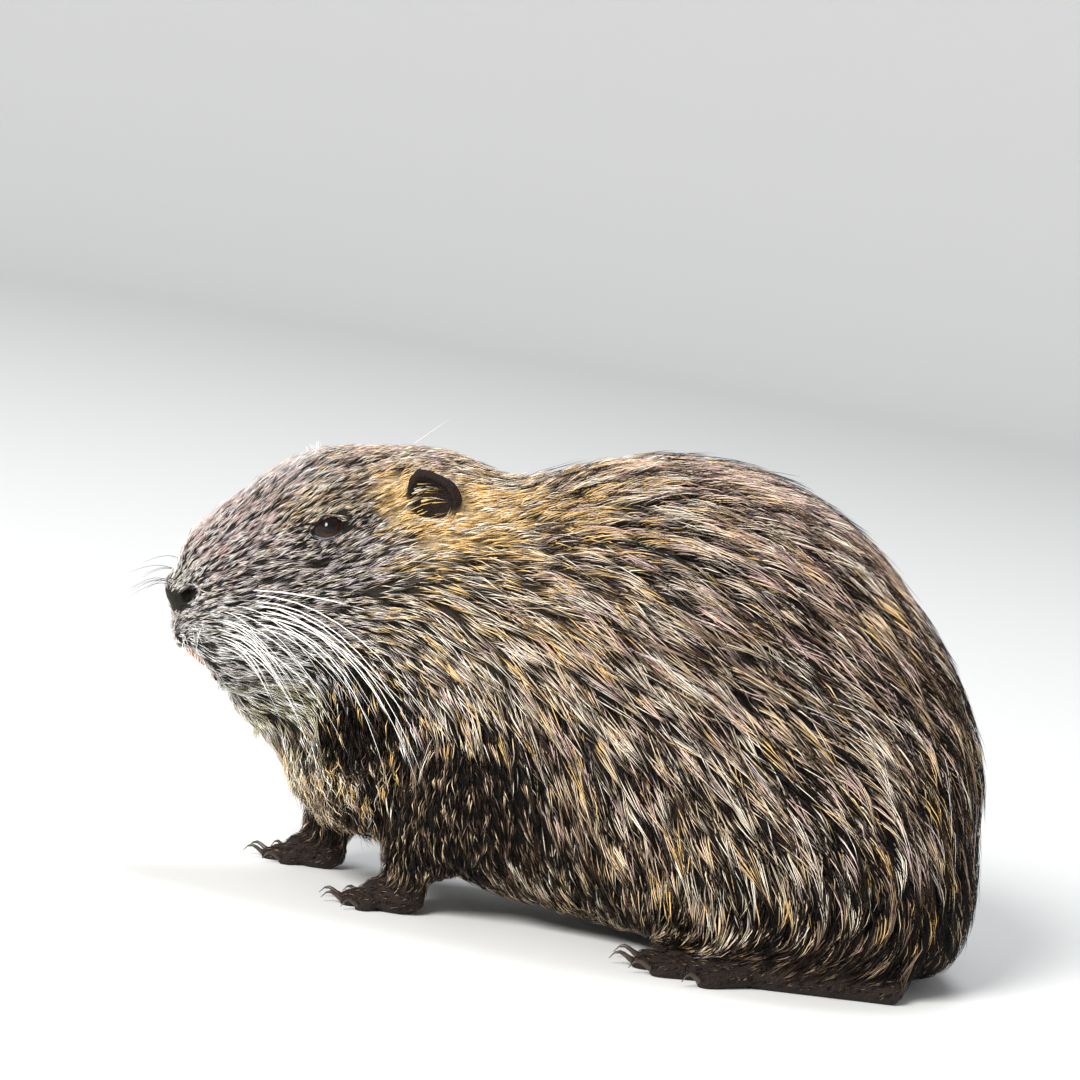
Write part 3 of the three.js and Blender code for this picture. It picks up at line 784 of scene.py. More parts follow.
feet = share_of(names, "forepaw", "hindfoot")
sole = feet * (1 - smooth_step(form_points[:, 2] / MM, 2, 4))
bare = np.clip(pad + lids + mouth + in_nostril + ear + tail + sole, 0, 1)
depth = size[:, 0] * (1 - (1 - BALD_DEPTH) * bare)
depth *= LID_DEPTH + (1 - LID_DEPTH) * smooth_step(eye_ring, 1.4, 3)
skin_points = form_points - form_normals * (depth * MM)[:, None]
put_points(skin, skin_points)

# %% [markdown]
# ## Eyes
#
# Each eye is a ball that shows only between the lids, with a cornea that stands a little higher in front.
# One mesh is enough: the iris and pupil are colour at a distance from the middle of the gaze, under a clear
# wet coat.

# %% Eyeballs
CORNEA_RINGS = (40, 33, 26, 19, 12)
CORNEA_STEP = 0.16


def shift(obj, chosen, step):
    """Moves just the chosen points."""
    select_only(obj, "VERT", "vertices", chosen)
    with editing(obj):
        bpy.ops.transform.translate(value=step)


def settle(obj):
    """Puts the object's place, turn and size into its mesh."""
    only(obj)
    bpy.ops.object.transform_apply(location=True, rotation=True, scale=True)


def eyeball(side):
    sign = SIDES[side]
    middle = head_place(*EYE_PLACE, sign)
    axes = eye_axes(sign)
    turn = Matrix(axes.tolist()) if sign > 0 else Matrix((axes * [-1, 1, 1]).tolist())
    deselect()
    bpy.ops.mesh.primitive_uv_sphere_add(segments=40, ring_count=28, radius=EYE_RADIUS * MM, location=middle,
                                         rotation=turn.to_euler())
    ball = bpy.context.object
    ball.name = f"eyeball_{side}"
    settle(ball)
    for angle in CORNEA_RINGS:
        ways = unit(points_of(ball) - middle)
        near = ways @ axes[:, 2] > math.cos(math.radians(angle))
        shift(ball, near, (axes[:, 2] * CORNEA_STEP * MM).tolist())
    ball.data.shade_smooth()
    return ball


eyeballs = {side: eyeball(side) for side in SIDES}

# %% [markdown]
# ## Teeth and claws
#
# Coypu incisors are orange in front and show even in a closed mouth, because the upper lip is split and
# closes behind them. Each is a block drawn out, with softened edges and a slight curve. A claw is a cone
# with a few rings, lifted into an arch between its root and its tip.

# %% Incisors
mouth_turn = head_turn.to_4x4() @ Matrix.Rotation(-MOUTH_SLOPE, 4, "Y")
EDGE_ROUNDING = 0.7
UPPER_INCISOR = {"place": UPPER_TEETH, "size": (3.4, 4.9, 14), "curve": 1.2}
LOWER_INCISOR = {"place": (-70, 0, -22.4), "size": (3, 3.9, 9), "curve": 0.4}


def incisor(name, out, place, size, curve):
    """One long tooth, this far out from the midline, curved to the back at its foot by curve mm."""
    depth, width, length = size
    deselect()
    bpy.ops.mesh.primitive_cube_add(size=1)
    tooth = bpy.context.object
    tooth.name = name
    tooth.dimensions = (depth * MM, width * MM, length * MM)
    bpy.context.view_layer.update()
    settle(tooth)
    with editing(tooth, "SELECT"):
        bpy.ops.mesh.bevel(offset=EDGE_ROUNDING * MM, segments=2)
        for cut in (-0.3, -0.1, 0.1, 0.3):
            bpy.ops.mesh.select_all(action="SELECT")
            bpy.ops.mesh.bisect(plane_co=(0, 0, cut * length * MM), plane_no=(0, 0, 1))
    for level in (-0.05, -0.2, -0.35, -0.45):
        shift(tooth, points_of(tooth)[:, 2] < level * length * MM, (curve / 4 * MM, 0, 0))
    beside = Matrix.Translation((0, out * MM, 0))
    tooth.matrix_world = Matrix.Translation(head_place(*place)) @ mouth_turn @ beside
    settle(tooth)
    tooth.data.shade_smooth()
    return tooth


upper_teeth = joined("teeth_upper", [incisor("upper", out, **UPPER_INCISOR) for out in (-2.55, 2.55)])
lower_teeth = joined("teeth_lower", [incisor("lower", out, **LOWER_INCISOR) for out in (-2.05, 2.05)])

# %% Claws
CLAW_RINGS = 5
CLAW_ROOT = 1.8
ARCH = 0.16
CLAW_TIP = 0.12


def claw_from(node):
    """A smooth arched claw in the place of a frame cone."""
    mesh = frame["nodes"][node].data
    spots = np.array([v.co for v in mesh.vertices])
    middle = spots.mean(axis=0)
    tip = spots[np.argmax(np.linalg.norm(spots - middle, axis=1))]
    back = spots[np.linalg.norm(spots - tip, axis=1) > 0.75 * np.linalg.norm(spots - tip, axis=1).max()]
    root = back.mean(axis=0)
    radius = np.linalg.norm(back - root, axis=1).max()
    root = root + unit(root - tip) * CLAW_ROOT * MM
    length = np.linalg.norm(tip - root)
    deselect()
    bpy.ops.mesh.primitive_cone_add(
        vertices=10, radius1=radius, radius2=radius * CLAW_TIP, depth=length, end_fill_type="NGON")
    claw = bpy.context.object
    for ring in range(1, CLAW_RINGS):
        level = (ring / CLAW_RINGS - 0.5) * length
        with editing(claw, "SELECT"):
            bpy.ops.mesh.bisect(plane_co=(0, 0, level), plane_no=(0, 0, 1))
        on_ring = np.abs(points_of(claw)[:, 2] - level) < length * 0.02
        shift(claw, on_ring, (0, ARCH * length * math.sin(math.pi * ring / CLAW_RINGS), 0))
    way = Vector(unit(tip - root))
    across = Vector((0, 0, 1)).cross(way).normalized()
    lifted = way.cross(across)
    turn = Matrix((-across, lifted, way)).transposed().to_4x4()
    claw.matrix_world = Matrix.Translation((root + tip) / 2) @ turn
    settle(claw)
    claw.data.shade_smooth()
    return claw


claws = {}
for limb, digits in (("fore", 4), ("hind", 5)):
    for side in SIDES:
        nodes = [f"claw_{limb}_{side}_{digit}" for digit in range(1, digits + 1)]
        name = f"claws_{limb}_{side}"
        claws[name] = (joined(name, [claw_from(node) for node in nodes]), nodes)
print("claws", {name: len(piece.data.polygons) for name, (piece, nodes) in claws.items()})

# %% [markdown]
# ## Growing the coat
#
# The locks are solid mesh: a thin three-sided prism that tapers to a point, closed at its root. Particle
# hair would be easier to comb, but it isn't mesh and would be lost when the figure is exported. Each clump
# has a guide line that creeps over the form along the lie of the coat. Its strands start side by side in
# the skin, rise through the coat and close up towards the guide's end, as wet hair does. All of it is
# worked out as arrays and written as a few meshes.

# %% Seeds and lookups
chance = np.random.default_rng(417)
RING_ANGLES = np.radians([90, 210, 330])
FLATNESS = 0.6
TUFT_PATCH = 0.003
ROOT_DEPTH = 0.35
CLEAR = 0.12
LOWEST = 0.6
CLUMP_LENGTHS = (0.75, 1.2)
STRAND_LENGTHS = (0.7, 1.05)
STRAND_WIDTHS = (0.7, 1.25)
LATEST_START = 0.42
GUIDE_REACH = 1.5
CURL_WAVES = 9
# Strands lower in the coat are darker, partly as the underfur's own colour and partly as painted shade
# between the locks.
DEEP_TONE_AND_SHADE, TONE_RISE, TONE_CURVE = 0.12, 1.12, 1.6
CLUMP_TONES, HAIR_TONES = 0.16, 0.14
OCHRE_GLOW = 0.6
# Roots are darker, partly as the hair's own banding and partly as painted shade where the locks part.
ROOT_SHARE, ROOT_BLACK_AND_SHADE = 0.24, 0.15
ROOT_END = 0.42


def spots_on_form(points):
    """The face under each point, and the shares of its three corners."""
    found = [form_tree.find_nearest(point) for point in points.tolist()]
    faces = np.array([hit[2] for hit in found])
    spots = np.array([hit[0] for hit in found])
    a, b, c = form_points[form_faces[faces]].transpose(1, 0, 2)
    ab, ac, ap = b - a, c - a, spots - a
    bb, bc, cc = (ab * ab).sum(1), (ab * ac).sum(1), (ac * ac).sum(1)
    pb, pc = (ap * ab).sum(1), (ap * ac).sum(1)
    whole = np.maximum(bb * cc - bc * bc, 1e-30)
    v = np.clip((cc * pb - bc * pc) / whole, 0, 1)
    w = np.clip((bb * pc - bc * pb) / whole, 0, 1)
    shares = np.stack([1 - v - w, v, w], axis=1).clip(0, 1)
    return faces, shares / shares.sum(axis=1, keepdims=True)


def on_form(values, faces, shares):
    """Values of the form's points, blended at spots on its faces."""
    corner_values = values[form_faces[faces]]
    if values.ndim == 1:
        return (corner_values * shares).sum(1)
    return (corner_values * shares[:, :, None]).sum(1)


def sow(density):
    """Spots spread over the form, as many for each square mm as the density of its points says."""
    expected = form_area * density[form_faces].mean(axis=1)
    total = np.cumsum(expected)
    count = int(total[-1])
    marks = (np.arange(count) + chance.random(count)) * total[-1] / max(count, 1)
    faces = np.searchsorted(total, marks).clip(0, len(form_faces) - 1)
    root, part = np.sqrt(chance.random(count)), chance.random(count)
    return faces, np.stack([1 - root, root * (1 - part), root * part], axis=1)


def turned(ways, normals, angles):
    """Directions turned about the surface's normals."""
    side = np.cross(normals, ways)
    return ways * np.cos(angles)[:, None] + side * np.sin(angles)[:, None]


# %% Guide lines
def lay_guides(faces, shares, reach, steps, stray):
    """Lines that creep over the form: places, normals and ways. Reach is in mm, stray in degrees."""
    spots = on_form(form_points, faces, shares)
    angle = np.radians(chance.normal(0, stray, len(faces)))
    places, normals, ways = [], [], []
    way = None
    for step in range(steps + 1):
        normal = unit(on_form(form_normals, faces, shares))
        wanted = turned(on_form(lie, faces, shares), normal, angle * (1 - 0.6 * step / steps))
        way = wanted if way is None else way + wanted
        way = unit(way - normal * (way * normal).sum(1, keepdims=True))
        places.append(spots)
        normals.append(normal)
        ways.append(way)
        if step < steps:
            ahead = spots + way * (reach * MM / steps)[:, None]
            faces, shares = spots_on_form(ahead)
            spots = on_form(form_points, faces, shares)
    return np.stack(places, 1), np.stack(normals, 1), np.stack(ways, 1)


# %% Strands along the guides
def strand_rows(guides, owner_clump, run, reach):
    """The guides' places, normals and ways at each strand's stations, which lie run mm along them."""
    steps = guides[0].shape[1] - 1
    station = np.clip(run / reach[:, None] * steps, 0, steps - 1e-6)
    low = station.astype(int)
    part = (station - low)[:, :, None]
    rows = owner_clump[:, None]
    return [track[rows, low] * (1 - part) + track[rows, low + 1] * part for track in guides]


def strand_colours(shares_of_hair, owner_clump, height, s, share_clump):
    """One hair colour for most of a clump, with a dark root of banding and painted shade, clear towards the
    tip.
    """
    clumps, count = len(shares_of_hair), len(owner_clump)
    totals = np.cumsum(shares_of_hair, axis=1)
    clump_hair = (chance.random(clumps)[:, None] > totals).sum(1).clip(0, len(HAIR) - 1)
    own_hair = (chance.random(count)[:, None] > totals[owner_clump]).sum(1).clip(0, len(HAIR) - 1)
    hair = np.where(chance.random(count) < share_clump, clump_hair[owner_clump], own_hair)
    tone = np.exp(chance.normal(0, CLUMP_TONES, clumps)[owner_clump] + chance.normal(0, HAIR_TONES, count))
    # Lower in the coat, darker: partly the underfur's own colour, partly painted shade between the locks.
    tone *= DEEP_TONE_AND_SHADE + TONE_RISE * height**TONE_CURVE
    tone *= 1 + OCHRE_GLOW * shares_of_hair[owner_clump, hair_index("ochre")]
    full = HAIR_COLOURS[hair] * tone[:, None]
    full /= np.maximum(1, full.max(axis=1, keepdims=True))
    # Dark roots: partly the hair's own banding, partly painted shade where the locks part.
    fade = smooth_step(s, 0.0, ROOT_END)[None, :, None]
    dark = full * ROOT_SHARE + HAIR_COLOURS[0] * ROOT_BLACK_AND_SHADE
    return (dark[:, None, :] * (1 - fade) + full[:, None, :] * fade).clip(0, 1)


# %% One part of the coat
def grow(name, density, per_clump, stations, girths, spread=2.0, stray=9, long=1.0, fat=1.0, pinch=0.85,
         level=(0.45, 1.0), lift=0.5, curl=0.0, hairs=None, share_clump=0.55, steps=4):
    """One part of the coat, as arrays. Density is strands per square mm at the form's points."""
    faces, shares = sow(density / per_clump)
    clumps = len(faces)
    clump_size = on_form(size, faces, shares)
    clump_length = clump_size[:, 1] * long * chance.uniform(*CLUMP_LENGTHS, clumps)
    reach = clump_length * GUIDE_REACH
    guides = lay_guides(faces, shares, reach, steps, stray)
    owner_clump = np.repeat(np.arange(clumps), per_clump)
    count = len(owner_clump)
    strand_size = clump_size[owner_clump]
    length = clump_length[owner_clump] * chance.uniform(*STRAND_LENGTHS, count)
    begin = clump_length[owner_clump] * chance.uniform(0, LATEST_START, count)
    offset = chance.uniform(-1, 1, count) * spread * strand_size[:, 1] / 10
    height = chance.uniform(*level, count)
    raised = np.abs(chance.normal(0, lift, count))
    s = np.append(stations, 1.0)
    run = begin[:, None] + s * length[:, None]
    places, normals, ways = strand_rows(guides, owner_clump, run, reach[owner_clump])
    normals = unit(normals)
    ways = unit(ways)
    sides = np.cross(normals, ways)
    out_of_skin = smooth_step(s, -0.05, 0.5)
    under = on_form(depth, faces, shares)[owner_clump, None]
    up = -under * (1 - out_of_skin * height[:, None]) - ROOT_DEPTH * (1 - out_of_skin) + CLEAR * out_of_skin
    up = up + raised[:, None] * s ** 2
    across = offset[:, None] * (1 - pinch * s ** 1.3)
    if curl:
        phase = chance.uniform(0, 6.28, clumps)[owner_clump, None] + chance.normal(0, 0.4, count)[:, None]
        across = across + curl * np.sin(phase + s * CURL_WAVES) * smooth_step(s, 0.1, 0.5)
        up = up + 0.5 * curl * np.cos(phase + s * CURL_WAVES) * smooth_step(s, 0.2, 0.6)
    centres = places + sides * (across * MM)[:, :, None] + normals * (up * MM)[:, :, None]
    centres[:, :, 2] = np.maximum(centres[:, :, 2], LOWEST * MM)
    width = strand_size[:, 2] * fat * chance.uniform(*STRAND_WIDTHS, count) / 2
    girth = width[:, None] * np.array(girths) * MM
    shares_of_hair = on_form(mixture, faces, shares) if hairs is None else np.tile(hairs, (clumps, 1))
    colours = strand_colours(shares_of_hair, owner_clump, height, s, share_clump)
    root_uv = (form_uv[faces] * shares[:, :, None]).sum(1)[owner_clump]
    print(name, count, "strands in", clumps, "clumps")
    return centres, sides, normals, girth, colours, root_uv


# %% Writing strands as meshes
MOST_TRIANGLES = 190_000
UV_BOUNDS = (0.0002, 0.9998)


def closed_tube(sides, rings):
    """Faces of a tube that tapers to a point, as corner numbers: foot, walls ring by ring, and tip."""
    faces = [list(range(sides - 1, -1, -1))]
    for low in range(0, sides * (rings - 1), sides):
        for i in range(sides):
            here, after = low + i, low + (i + 1) % sides
            faces.append([here, after, after + sides, here + sides])
    top = sides * (rings - 1)
    return faces + [[top + i, top + (i + 1) % sides, top + sides] for i in range(sides)]


def mesh_piece(name, points, faces, colours, uv):
    """Many tubes alike as one mesh. Points, colours and uv have a row for each; the faces serve them all."""
    count, each = points.shape[:2]
    corners = np.concatenate(faces)
    starts = np.cumsum([0] + [len(face) for face in faces[:-1]])
    tube = np.arange(count)[:, None]
    mesh = bpy.data.meshes.new(name)
    mesh.vertices.add(count * each)
    mesh.vertices.foreach_set("co", points.astype(np.float32).ravel())
    mesh.loops.add(count * len(corners))
    mesh.loops.foreach_set("vertex_index", (tube * each + corners).astype(np.int32).ravel())
    mesh.polygons.add(count * len(starts))
    mesh.polygons.foreach_set("loop_start", (tube * len(corners) + starts).astype(np.int32).ravel())
    paint(mesh, "hair_colour", colours.reshape(-1, 3))
    mesh.uv_layers.new(name="OFBake", do_init=False)
    mesh.uv_layers["OFBake"].uv.foreach_set("vector", uv.astype(np.float32).ravel())
    mesh.update(calc_edges=True)
    mesh.validate()
    mesh.shade_smooth()
    piece = bpy.data.objects.new(name, mesh)
    bpy.context.collection.objects.link(piece)
    return piece


def strand_uv(rings):
    """Each strand's own small patch of the unwrap, from its root to its tip, in the order of closed_tube."""
    stations = np.linspace(0, 1, rings + 1)
    patch = [(1, 0), (0.5, -0.4), (0, 0)]
    for low, high in zip(stations[:-2], stations[1:-1]):
        for i in range(3):
            patch += [(i / 3, low), ((i + 1) / 3, low), ((i + 1) / 3, high), (i / 3, high)]
    for i in range(3):
        patch += [(i / 3, stations[-2]), ((i + 1) / 3, stations[-2]), ((i + 0.5) / 3, 1)]
    return (np.array(patch) - 0.5) * TUFT_PATCH


# %% Weaving them into pieces of a size that stays light
def weave(name, grown):
    """Tapering prisms from the arrays of grow, from nose to tail, in as many pieces as are needed."""
    centres, sides, normals, girth, colours, root_uv = grown
    order = np.argsort(centres[:, 0, 0], kind="stable")
    rings = centres.shape[1] - 1
    each = 6 * (rings - 1) + 4
    parts = max(1, math.ceil(len(order) * each / MOST_TRIANGLES))
    pieces = []
    for number, chosen in enumerate(np.array_split(order, parts), 1):
        around = (sides[chosen, :-1, None] * np.cos(RING_ANGLES)[:, None]
                  + normals[chosen, :-1, None] * (FLATNESS * np.sin(RING_ANGLES))[:, None])
        rows = centres[chosen, :-1, None] + around * girth[chosen][:, :, None, None]
        points = np.concatenate([rows.reshape(len(chosen), -1, 3), centres[chosen, -1:]], axis=1)
        shade = np.concatenate([np.repeat(colours[chosen, :-1], 3, axis=1), colours[chosen, -1:]], axis=1)
        uv = (root_uv[chosen][:, None, :] + strand_uv(rings)).clip(*UV_BOUNDS)
        part_name = f"{name}_{number}" if parts > 1 else name
        pieces.append(mesh_piece(part_name, points, closed_tube(3, rings), shade, uv))
    print(name, "in", parts, "pieces,", len(order) * each, "triangles")
    return pieces


# %% Where each part of the coat grows
EAR_TUFTS = 1.1
hairy = 1 - smooth_step(bare, 0.45, 0.85)
length, width = size[:, 1], size[:, 2]
plain = hairy / (length * width)
ear_gaps = [np.linalg.norm(form_points - np.array(middle), axis=1) for middle in EARS.values()]
plain *= 1 + EAR_TUFTS * bell(np.min(ear_gaps, axis=0) / MM, 13, 5)
on_head_part = share_of(names, "head", "nose", "eye")
on_forelegs = share_of(names, "foreleg")
on_feet = share_of(names, "forepaw", "hindfoot")
on_trunk = share_of(names, "neck", "trunk", "rump", "haunch")
along_body, _, height_on_body = form_points.T / MM
chest_curls = smooth_step(-along_body, 78, 92) * on_trunk * (1 - smooth_step(height_on_body, 95, 110))
TWO_RINGS = {"stations": (0, 0.4), "girths": (0.75, 1)}
THREE_RINGS = {"stations": (0, 0.3, 0.65), "girths": (0.7, 1, 0.75)}
FIVE_RINGS = {"stations": (0, 0.2, 0.4, 0.6, 0.8), "girths": (0.7, 1, 0.9, 0.75, 0.5)}

# Strands for each place that one strand's length and width would fill, or for each square mm.
DENSITY = {"head": 3.2, "lips": 1.2, "under": 2.1, "top": 1.45, "chest": 4.2, "legs": 2.2, "feet": 0.6,
           "tail": 0.08, "guard": 0.042, "pale guard": 0.008}

# %% The coat of the head
on_lips = np.clip(mixture[:, hair_index("white")] * 1.6, 0, 1)
short_coat = plain * on_head_part * DENSITY["head"] * (1 - 0.55 * on_lips)
coat_face = weave("coat_head", grow("head", short_coat, 5, **TWO_RINGS, spread=1.5, stray=7, lift=0.35))
lip_coat = plain * on_head_part * on_lips * DENSITY["lips"]
coat_lips = weave("coat_lips", grow(
    "lips", lip_coat, 4, **THREE_RINGS, spread=1.6, stray=12, lift=0.9, long=1.25, level=(0.8, 1.0), fat=0.9))

# %% The coat of the body: an under layer, and a top layer of longer, clearer locks
body_coat = plain * on_trunk * (1 - chest_curls)
coat_under = weave("coat_under", grow(
    "under", body_coat * DENSITY["under"], 5, **TWO_RINGS, spread=2.2, stray=9, lift=0.3,
    level=(0.35, 0.75), long=0.9, fat=1.15))
coat_top = weave("coat_top", grow(
    "top", body_coat * DENSITY["top"], 8, **THREE_RINGS, spread=2.2, stray=6, lift=0.6,
    level=(0.75, 1.0), long=1.2, fat=0.85, pinch=0.92, share_clump=0.6))

# %% Curls on the chest, and the coat of the legs, feet and tail
curly_coat = plain * chest_curls * DENSITY["chest"]
coat_chest = weave("coat_chest", grow(
    "chest", curly_coat, 6, **FIVE_RINGS, spread=2.2, stray=18, lift=2.4, curl=0.9))
leg_coat = plain * (on_forelegs * DENSITY["legs"] + on_feet * DENSITY["feet"])
coat_legs = weave("coat_legs", grow("legs", leg_coat, 4, **TWO_RINGS, spread=1.6, stray=12, lift=0.35))
tail_density = share_of(names, "tail") * DENSITY["tail"] * (1 + 2 * smooth_step(-tail_run, -40, -5))
coat_tail = weave("coat_tail", grow("tail", tail_density, 1, **TWO_RINGS, stray=14, lift=0.6, level=(0.8, 1)))

# %% Long guard hairs: dark ones over the back and rump, pale ones over the neck and flank
DARK_HAIRS = np.array([7, 3, 1, 0, 0, 0, 0, 0, 0, 0]) / 11
PALE_HAIRS = np.array([0, 0, 0, 0, 2, 2, 5, 0, 0, 0]) / 9
over_back = smooth_step(height_on_body, 95, 170) + 0.7 * smooth_step(along_body, 110, 150)
over_flank = smooth_step(height_on_body, 70, 100) * (1 - smooth_step(height_on_body, 140, 175))
dark_density = on_trunk * over_back * DENSITY["guard"]
guard = weave("coat_guard", grow(
    "guard", dark_density, 5, **FIVE_RINGS, spread=1.0, stray=12, lift=1.3, level=(1.0, 1.06),
    long=1.8, fat=0.8, pinch=0.75, hairs=DARK_HAIRS, share_clump=1))
pale_density = on_trunk * over_flank * (1 - chest_curls) * DENSITY["pale guard"]
pale_guard = weave("coat_guard_pale", grow(
    "pale guard", pale_density, 3, **FIVE_RINGS, spread=0.8, stray=16, lift=0.8, level=(1.0, 1.05),
    long=1.7, fat=0.55, pinch=0.75, hairs=PALE_HAIRS, share_clump=1))
trunk_coats = coat_under + coat_top + coat_chest + guard + pale_guard
coats = coat_face + coat_lips + trunk_coats + coat_legs + coat_tail

# %% [markdown]
# ## Whiskers
#
# A coypu's whiskers are thick, stiff and white, in rows on a bed behind the nose, and sweep back and down
# over the cheek. Each is a thin tube along a curve of three points, with rings that narrow to the tip. The
# fine dark ones near the nose point forward, and a few long pale hairs stand over the brow.

# %% Tubes along curves
TUBE_SIDES = 5
TUBE_RINGS = 9


def tubes(name, roots, bends, tips, widths, colours):
    """Closed tapering tubes along curves from roots past bends to tips. Widths are in mm."""
    t = np.linspace(0, 1, TUBE_RINGS + 1)[None, :, None]
    line = roots[:, None] * (1 - t) ** 2 + 2 * bends[:, None] * t * (1 - t) + tips[:, None] * t**2
    ways = unit(np.gradient(line, axis=1))
    side = unit(np.cross(ways, np.array([0.1, 0.2, 1.0])))
    over = np.cross(ways, side)
    girth = widths[:, None] * MM / 2 * (1 - 0.85 * t[:, :, 0] ** 1.5)
    angles = np.arange(TUBE_SIDES) * 2 * math.pi / TUBE_SIDES
    around = side[:, :-1, None] * np.cos(angles)[:, None] + over[:, :-1, None] * -np.sin(angles)[:, None]
    rows = line[:, :-1, None] + around * girth[:, :-1, None, None]
    points = np.concatenate([rows.reshape(len(roots), -1, 3), line[:, -1:]], axis=1)
    faces = closed_tube(TUBE_SIDES, TUBE_RINGS)
    corners = np.concatenate(faces)
    each = points.shape[1]
    root_faces, root_shares = spots_on_form(roots)
    root_uv = (form_uv[root_faces] * root_shares[:, :, None]).sum(1)
    patch = np.stack([corners % TUBE_SIDES / TUBE_SIDES, corners / each], axis=1) - 0.5
    uv = (root_uv[:, None] + patch * TUFT_PATCH).clip(*UV_BOUNDS)
    return mesh_piece(name, points, faces, np.repeat(colours, each, axis=0), uv)


# %% Whiskers on the bed
BED = np.array([(-68.6, 14.6), (-41, 5.7), (-48, -14.4), (-74, -5)])
LONG_WHISKERS = ((13, 0.72, -0.52, 122), (11, 0.5, -0.72, 100), (8, 0.42, -0.8, 104), (6, 0.36, -0.84, 110),
                 (3, 0.34, -0.86, 108), (0, 0.4, -0.84, 96), (-4, 0.3, -0.9, 86))
COUNTS = {"bed": 34, "fringe": 30, "snout": 5, "nose": 9, "chin": 22, "brow": 3, "crown": 12}
COUNTS |= {"cheek": 9, "ear": 14}
WHISKER_ROOT = 1.3
BEND = 0.45


def root_near(back, out, up, sign):
    """The nearest place on the form, just under its surface, and the way the surface faces."""
    hit, normal = form_tree.find_nearest(head_place(back, out, up, sign))[:2]
    return np.array(hit) - np.array(normal) * WHISKER_ROOT * MM, np.array(normal)


def whisker(root, first, last, length, width, colour):
    """A whisker leaves its root one way and ends up another."""
    return root, root + first * length * BEND * MM, root + last * length * MM, width, linear(HAIR[colour])


def on_bed(sign):
    """Longer and thicker towards the back of the bed, with seven very long ones there."""
    for _ in range(COUNTS["bed"]):
        u, v = chance.random(), chance.random()
        back, up = (BED[0] * (1 - v) + BED[3] * v) * (1 - u) + (BED[1] * (1 - v) + BED[2] * v) * u
        root, normal = root_near(back, 26, up, sign)
        first = unit(head_way(0.8, 0.6, -0.3 + chance.normal(0, 0.1), sign) + 0.25 * normal)
        back_way = 0.48 - 0.15 * v + chance.normal(0, 0.06)
        last = head_way(back_way, 0.4, -0.75 - 0.15 * v + chance.normal(0, 0.06), sign)
        length = (34 + 56 * u) * chance.uniform(0.6, 1.15)
        yield whisker(root, first, last, length, 0.3 + 0.22 * u * chance.random(), "white")
    for up, back_way, fall, length in LONG_WHISKERS:
        root, normal = root_near(-47, 26, up, sign)
        first = head_way(0.85, 0.55, -0.25, sign)
        yield whisker(root, first, head_way(back_way, 0.44, fall, sign), length, 0.6, "white")


# %% Fine hairs round the nose and mouth
def on_fringe(sign):
    """A short white fringe that hangs over the lips."""
    for _ in range(COUNTS["fringe"]):
        root, normal = root_near(chance.uniform(-84, -68), 14, chance.uniform(-16, 5), sign)
        way = head_way(-0.25 + chance.normal(0, 0.25), 0.5, -0.8, sign)
        length = chance.uniform(7, 17)
        yield whisker(root, unit(way + 0.4 * normal), way, length, 0.24, "white")


def on_snout(sign):
    """Dark hairs over the nose, pointing forward and up."""
    for _ in range(COUNTS["snout"]):
        root, normal = root_near(chance.uniform(-80, -66), 9, chance.uniform(22, 30), sign)
        way = head_way(chance.uniform(-0.85, -0.2), 0.35, chance.uniform(0.5, 0.95), sign)
        length = chance.uniform(12, 25)
        yield whisker(root, way, unit(way + head_way(-0.15, 0, -0.1)), length, 0.28, "umber")


def under_nose(sign):
    """Thin white fuzz in front of the nose."""
    for _ in range(COUNTS["nose"]):
        root, normal = root_near(-82, 5, chance.uniform(2, 10), sign)
        way = head_way(-0.9, 0.35, -0.3 + chance.normal(0, 0.2), sign)
        yield whisker(root, way, unit(way + head_way(0.1, 0, -0.3)), chance.uniform(6, 16), 0.17, "white")


def on_chin(sign):
    """A wet tuft whose hairs run together at their tips."""
    for _ in range(COUNTS["chin"]):
        root, normal = root_near(-56 + chance.normal(0, 2.5), chance.uniform(0, 6), -44, sign)
        tip = [-64.5 + chance.normal(0, 0.8), chance.normal(0, 0.5), -56.5 + chance.uniform(0, 6)]
        tip = head_place(*tip, sign)
        bend = (root + tip) / 2 + head_way(0.5, 0.5, -0.6, sign) * 2 * MM
        yield root, bend, tip, 0.42, linear(HAIR[chance.choice(["moss", "cream", "moss"])])


# %% Fine hairs over the brow, crown and cheek and in the ear
def on_brow(sign):
    for _ in range(COUNTS["brow"]):
        root, normal = root_near(-8 + chance.normal(0, 4), 24, 42, sign)
        way = head_way(0.5 + chance.normal(0, 0.2), 0.5, 0.7, sign)
        yield whisker(root, way, unit(way + head_way(0.4, 0, -0.1)), chance.uniform(12, 20), 0.2, "cream")


def on_crown(sign):
    """A white wisp and one long hair, on the right side only."""
    if sign < 0:
        return
    for _ in range(COUNTS["crown"]):
        root, normal = root_near(1 + chance.normal(0, 1.5), 9 + chance.normal(0, 1.5), 50, sign)
        way = unit(normal + head_way(chance.normal(0.1, 0.3), 0, 0.5))
        yield whisker(root, way, way, chance.uniform(5, 8), 0.34, "white")
    root, normal = root_near(40, 12, 42, sign)
    yield whisker(root, head_way(0.95, 0.15, 0.26), head_way(0.95, 0.15, 0.23), 26, 0.24, "cream")


def on_cheek(sign):
    for _ in range(COUNTS["cheek"]):
        root, normal = root_near(chance.uniform(24, 34), 33, chance.uniform(14, 30), sign)
        way = head_way(0.9, 0.75 + chance.normal(0, 0.1), 0.1 + chance.normal(0, 0.25), sign)
        yield whisker(root, way, head_way(1, 0.5, 0), chance.uniform(10, 18), 0.3, "ochre")


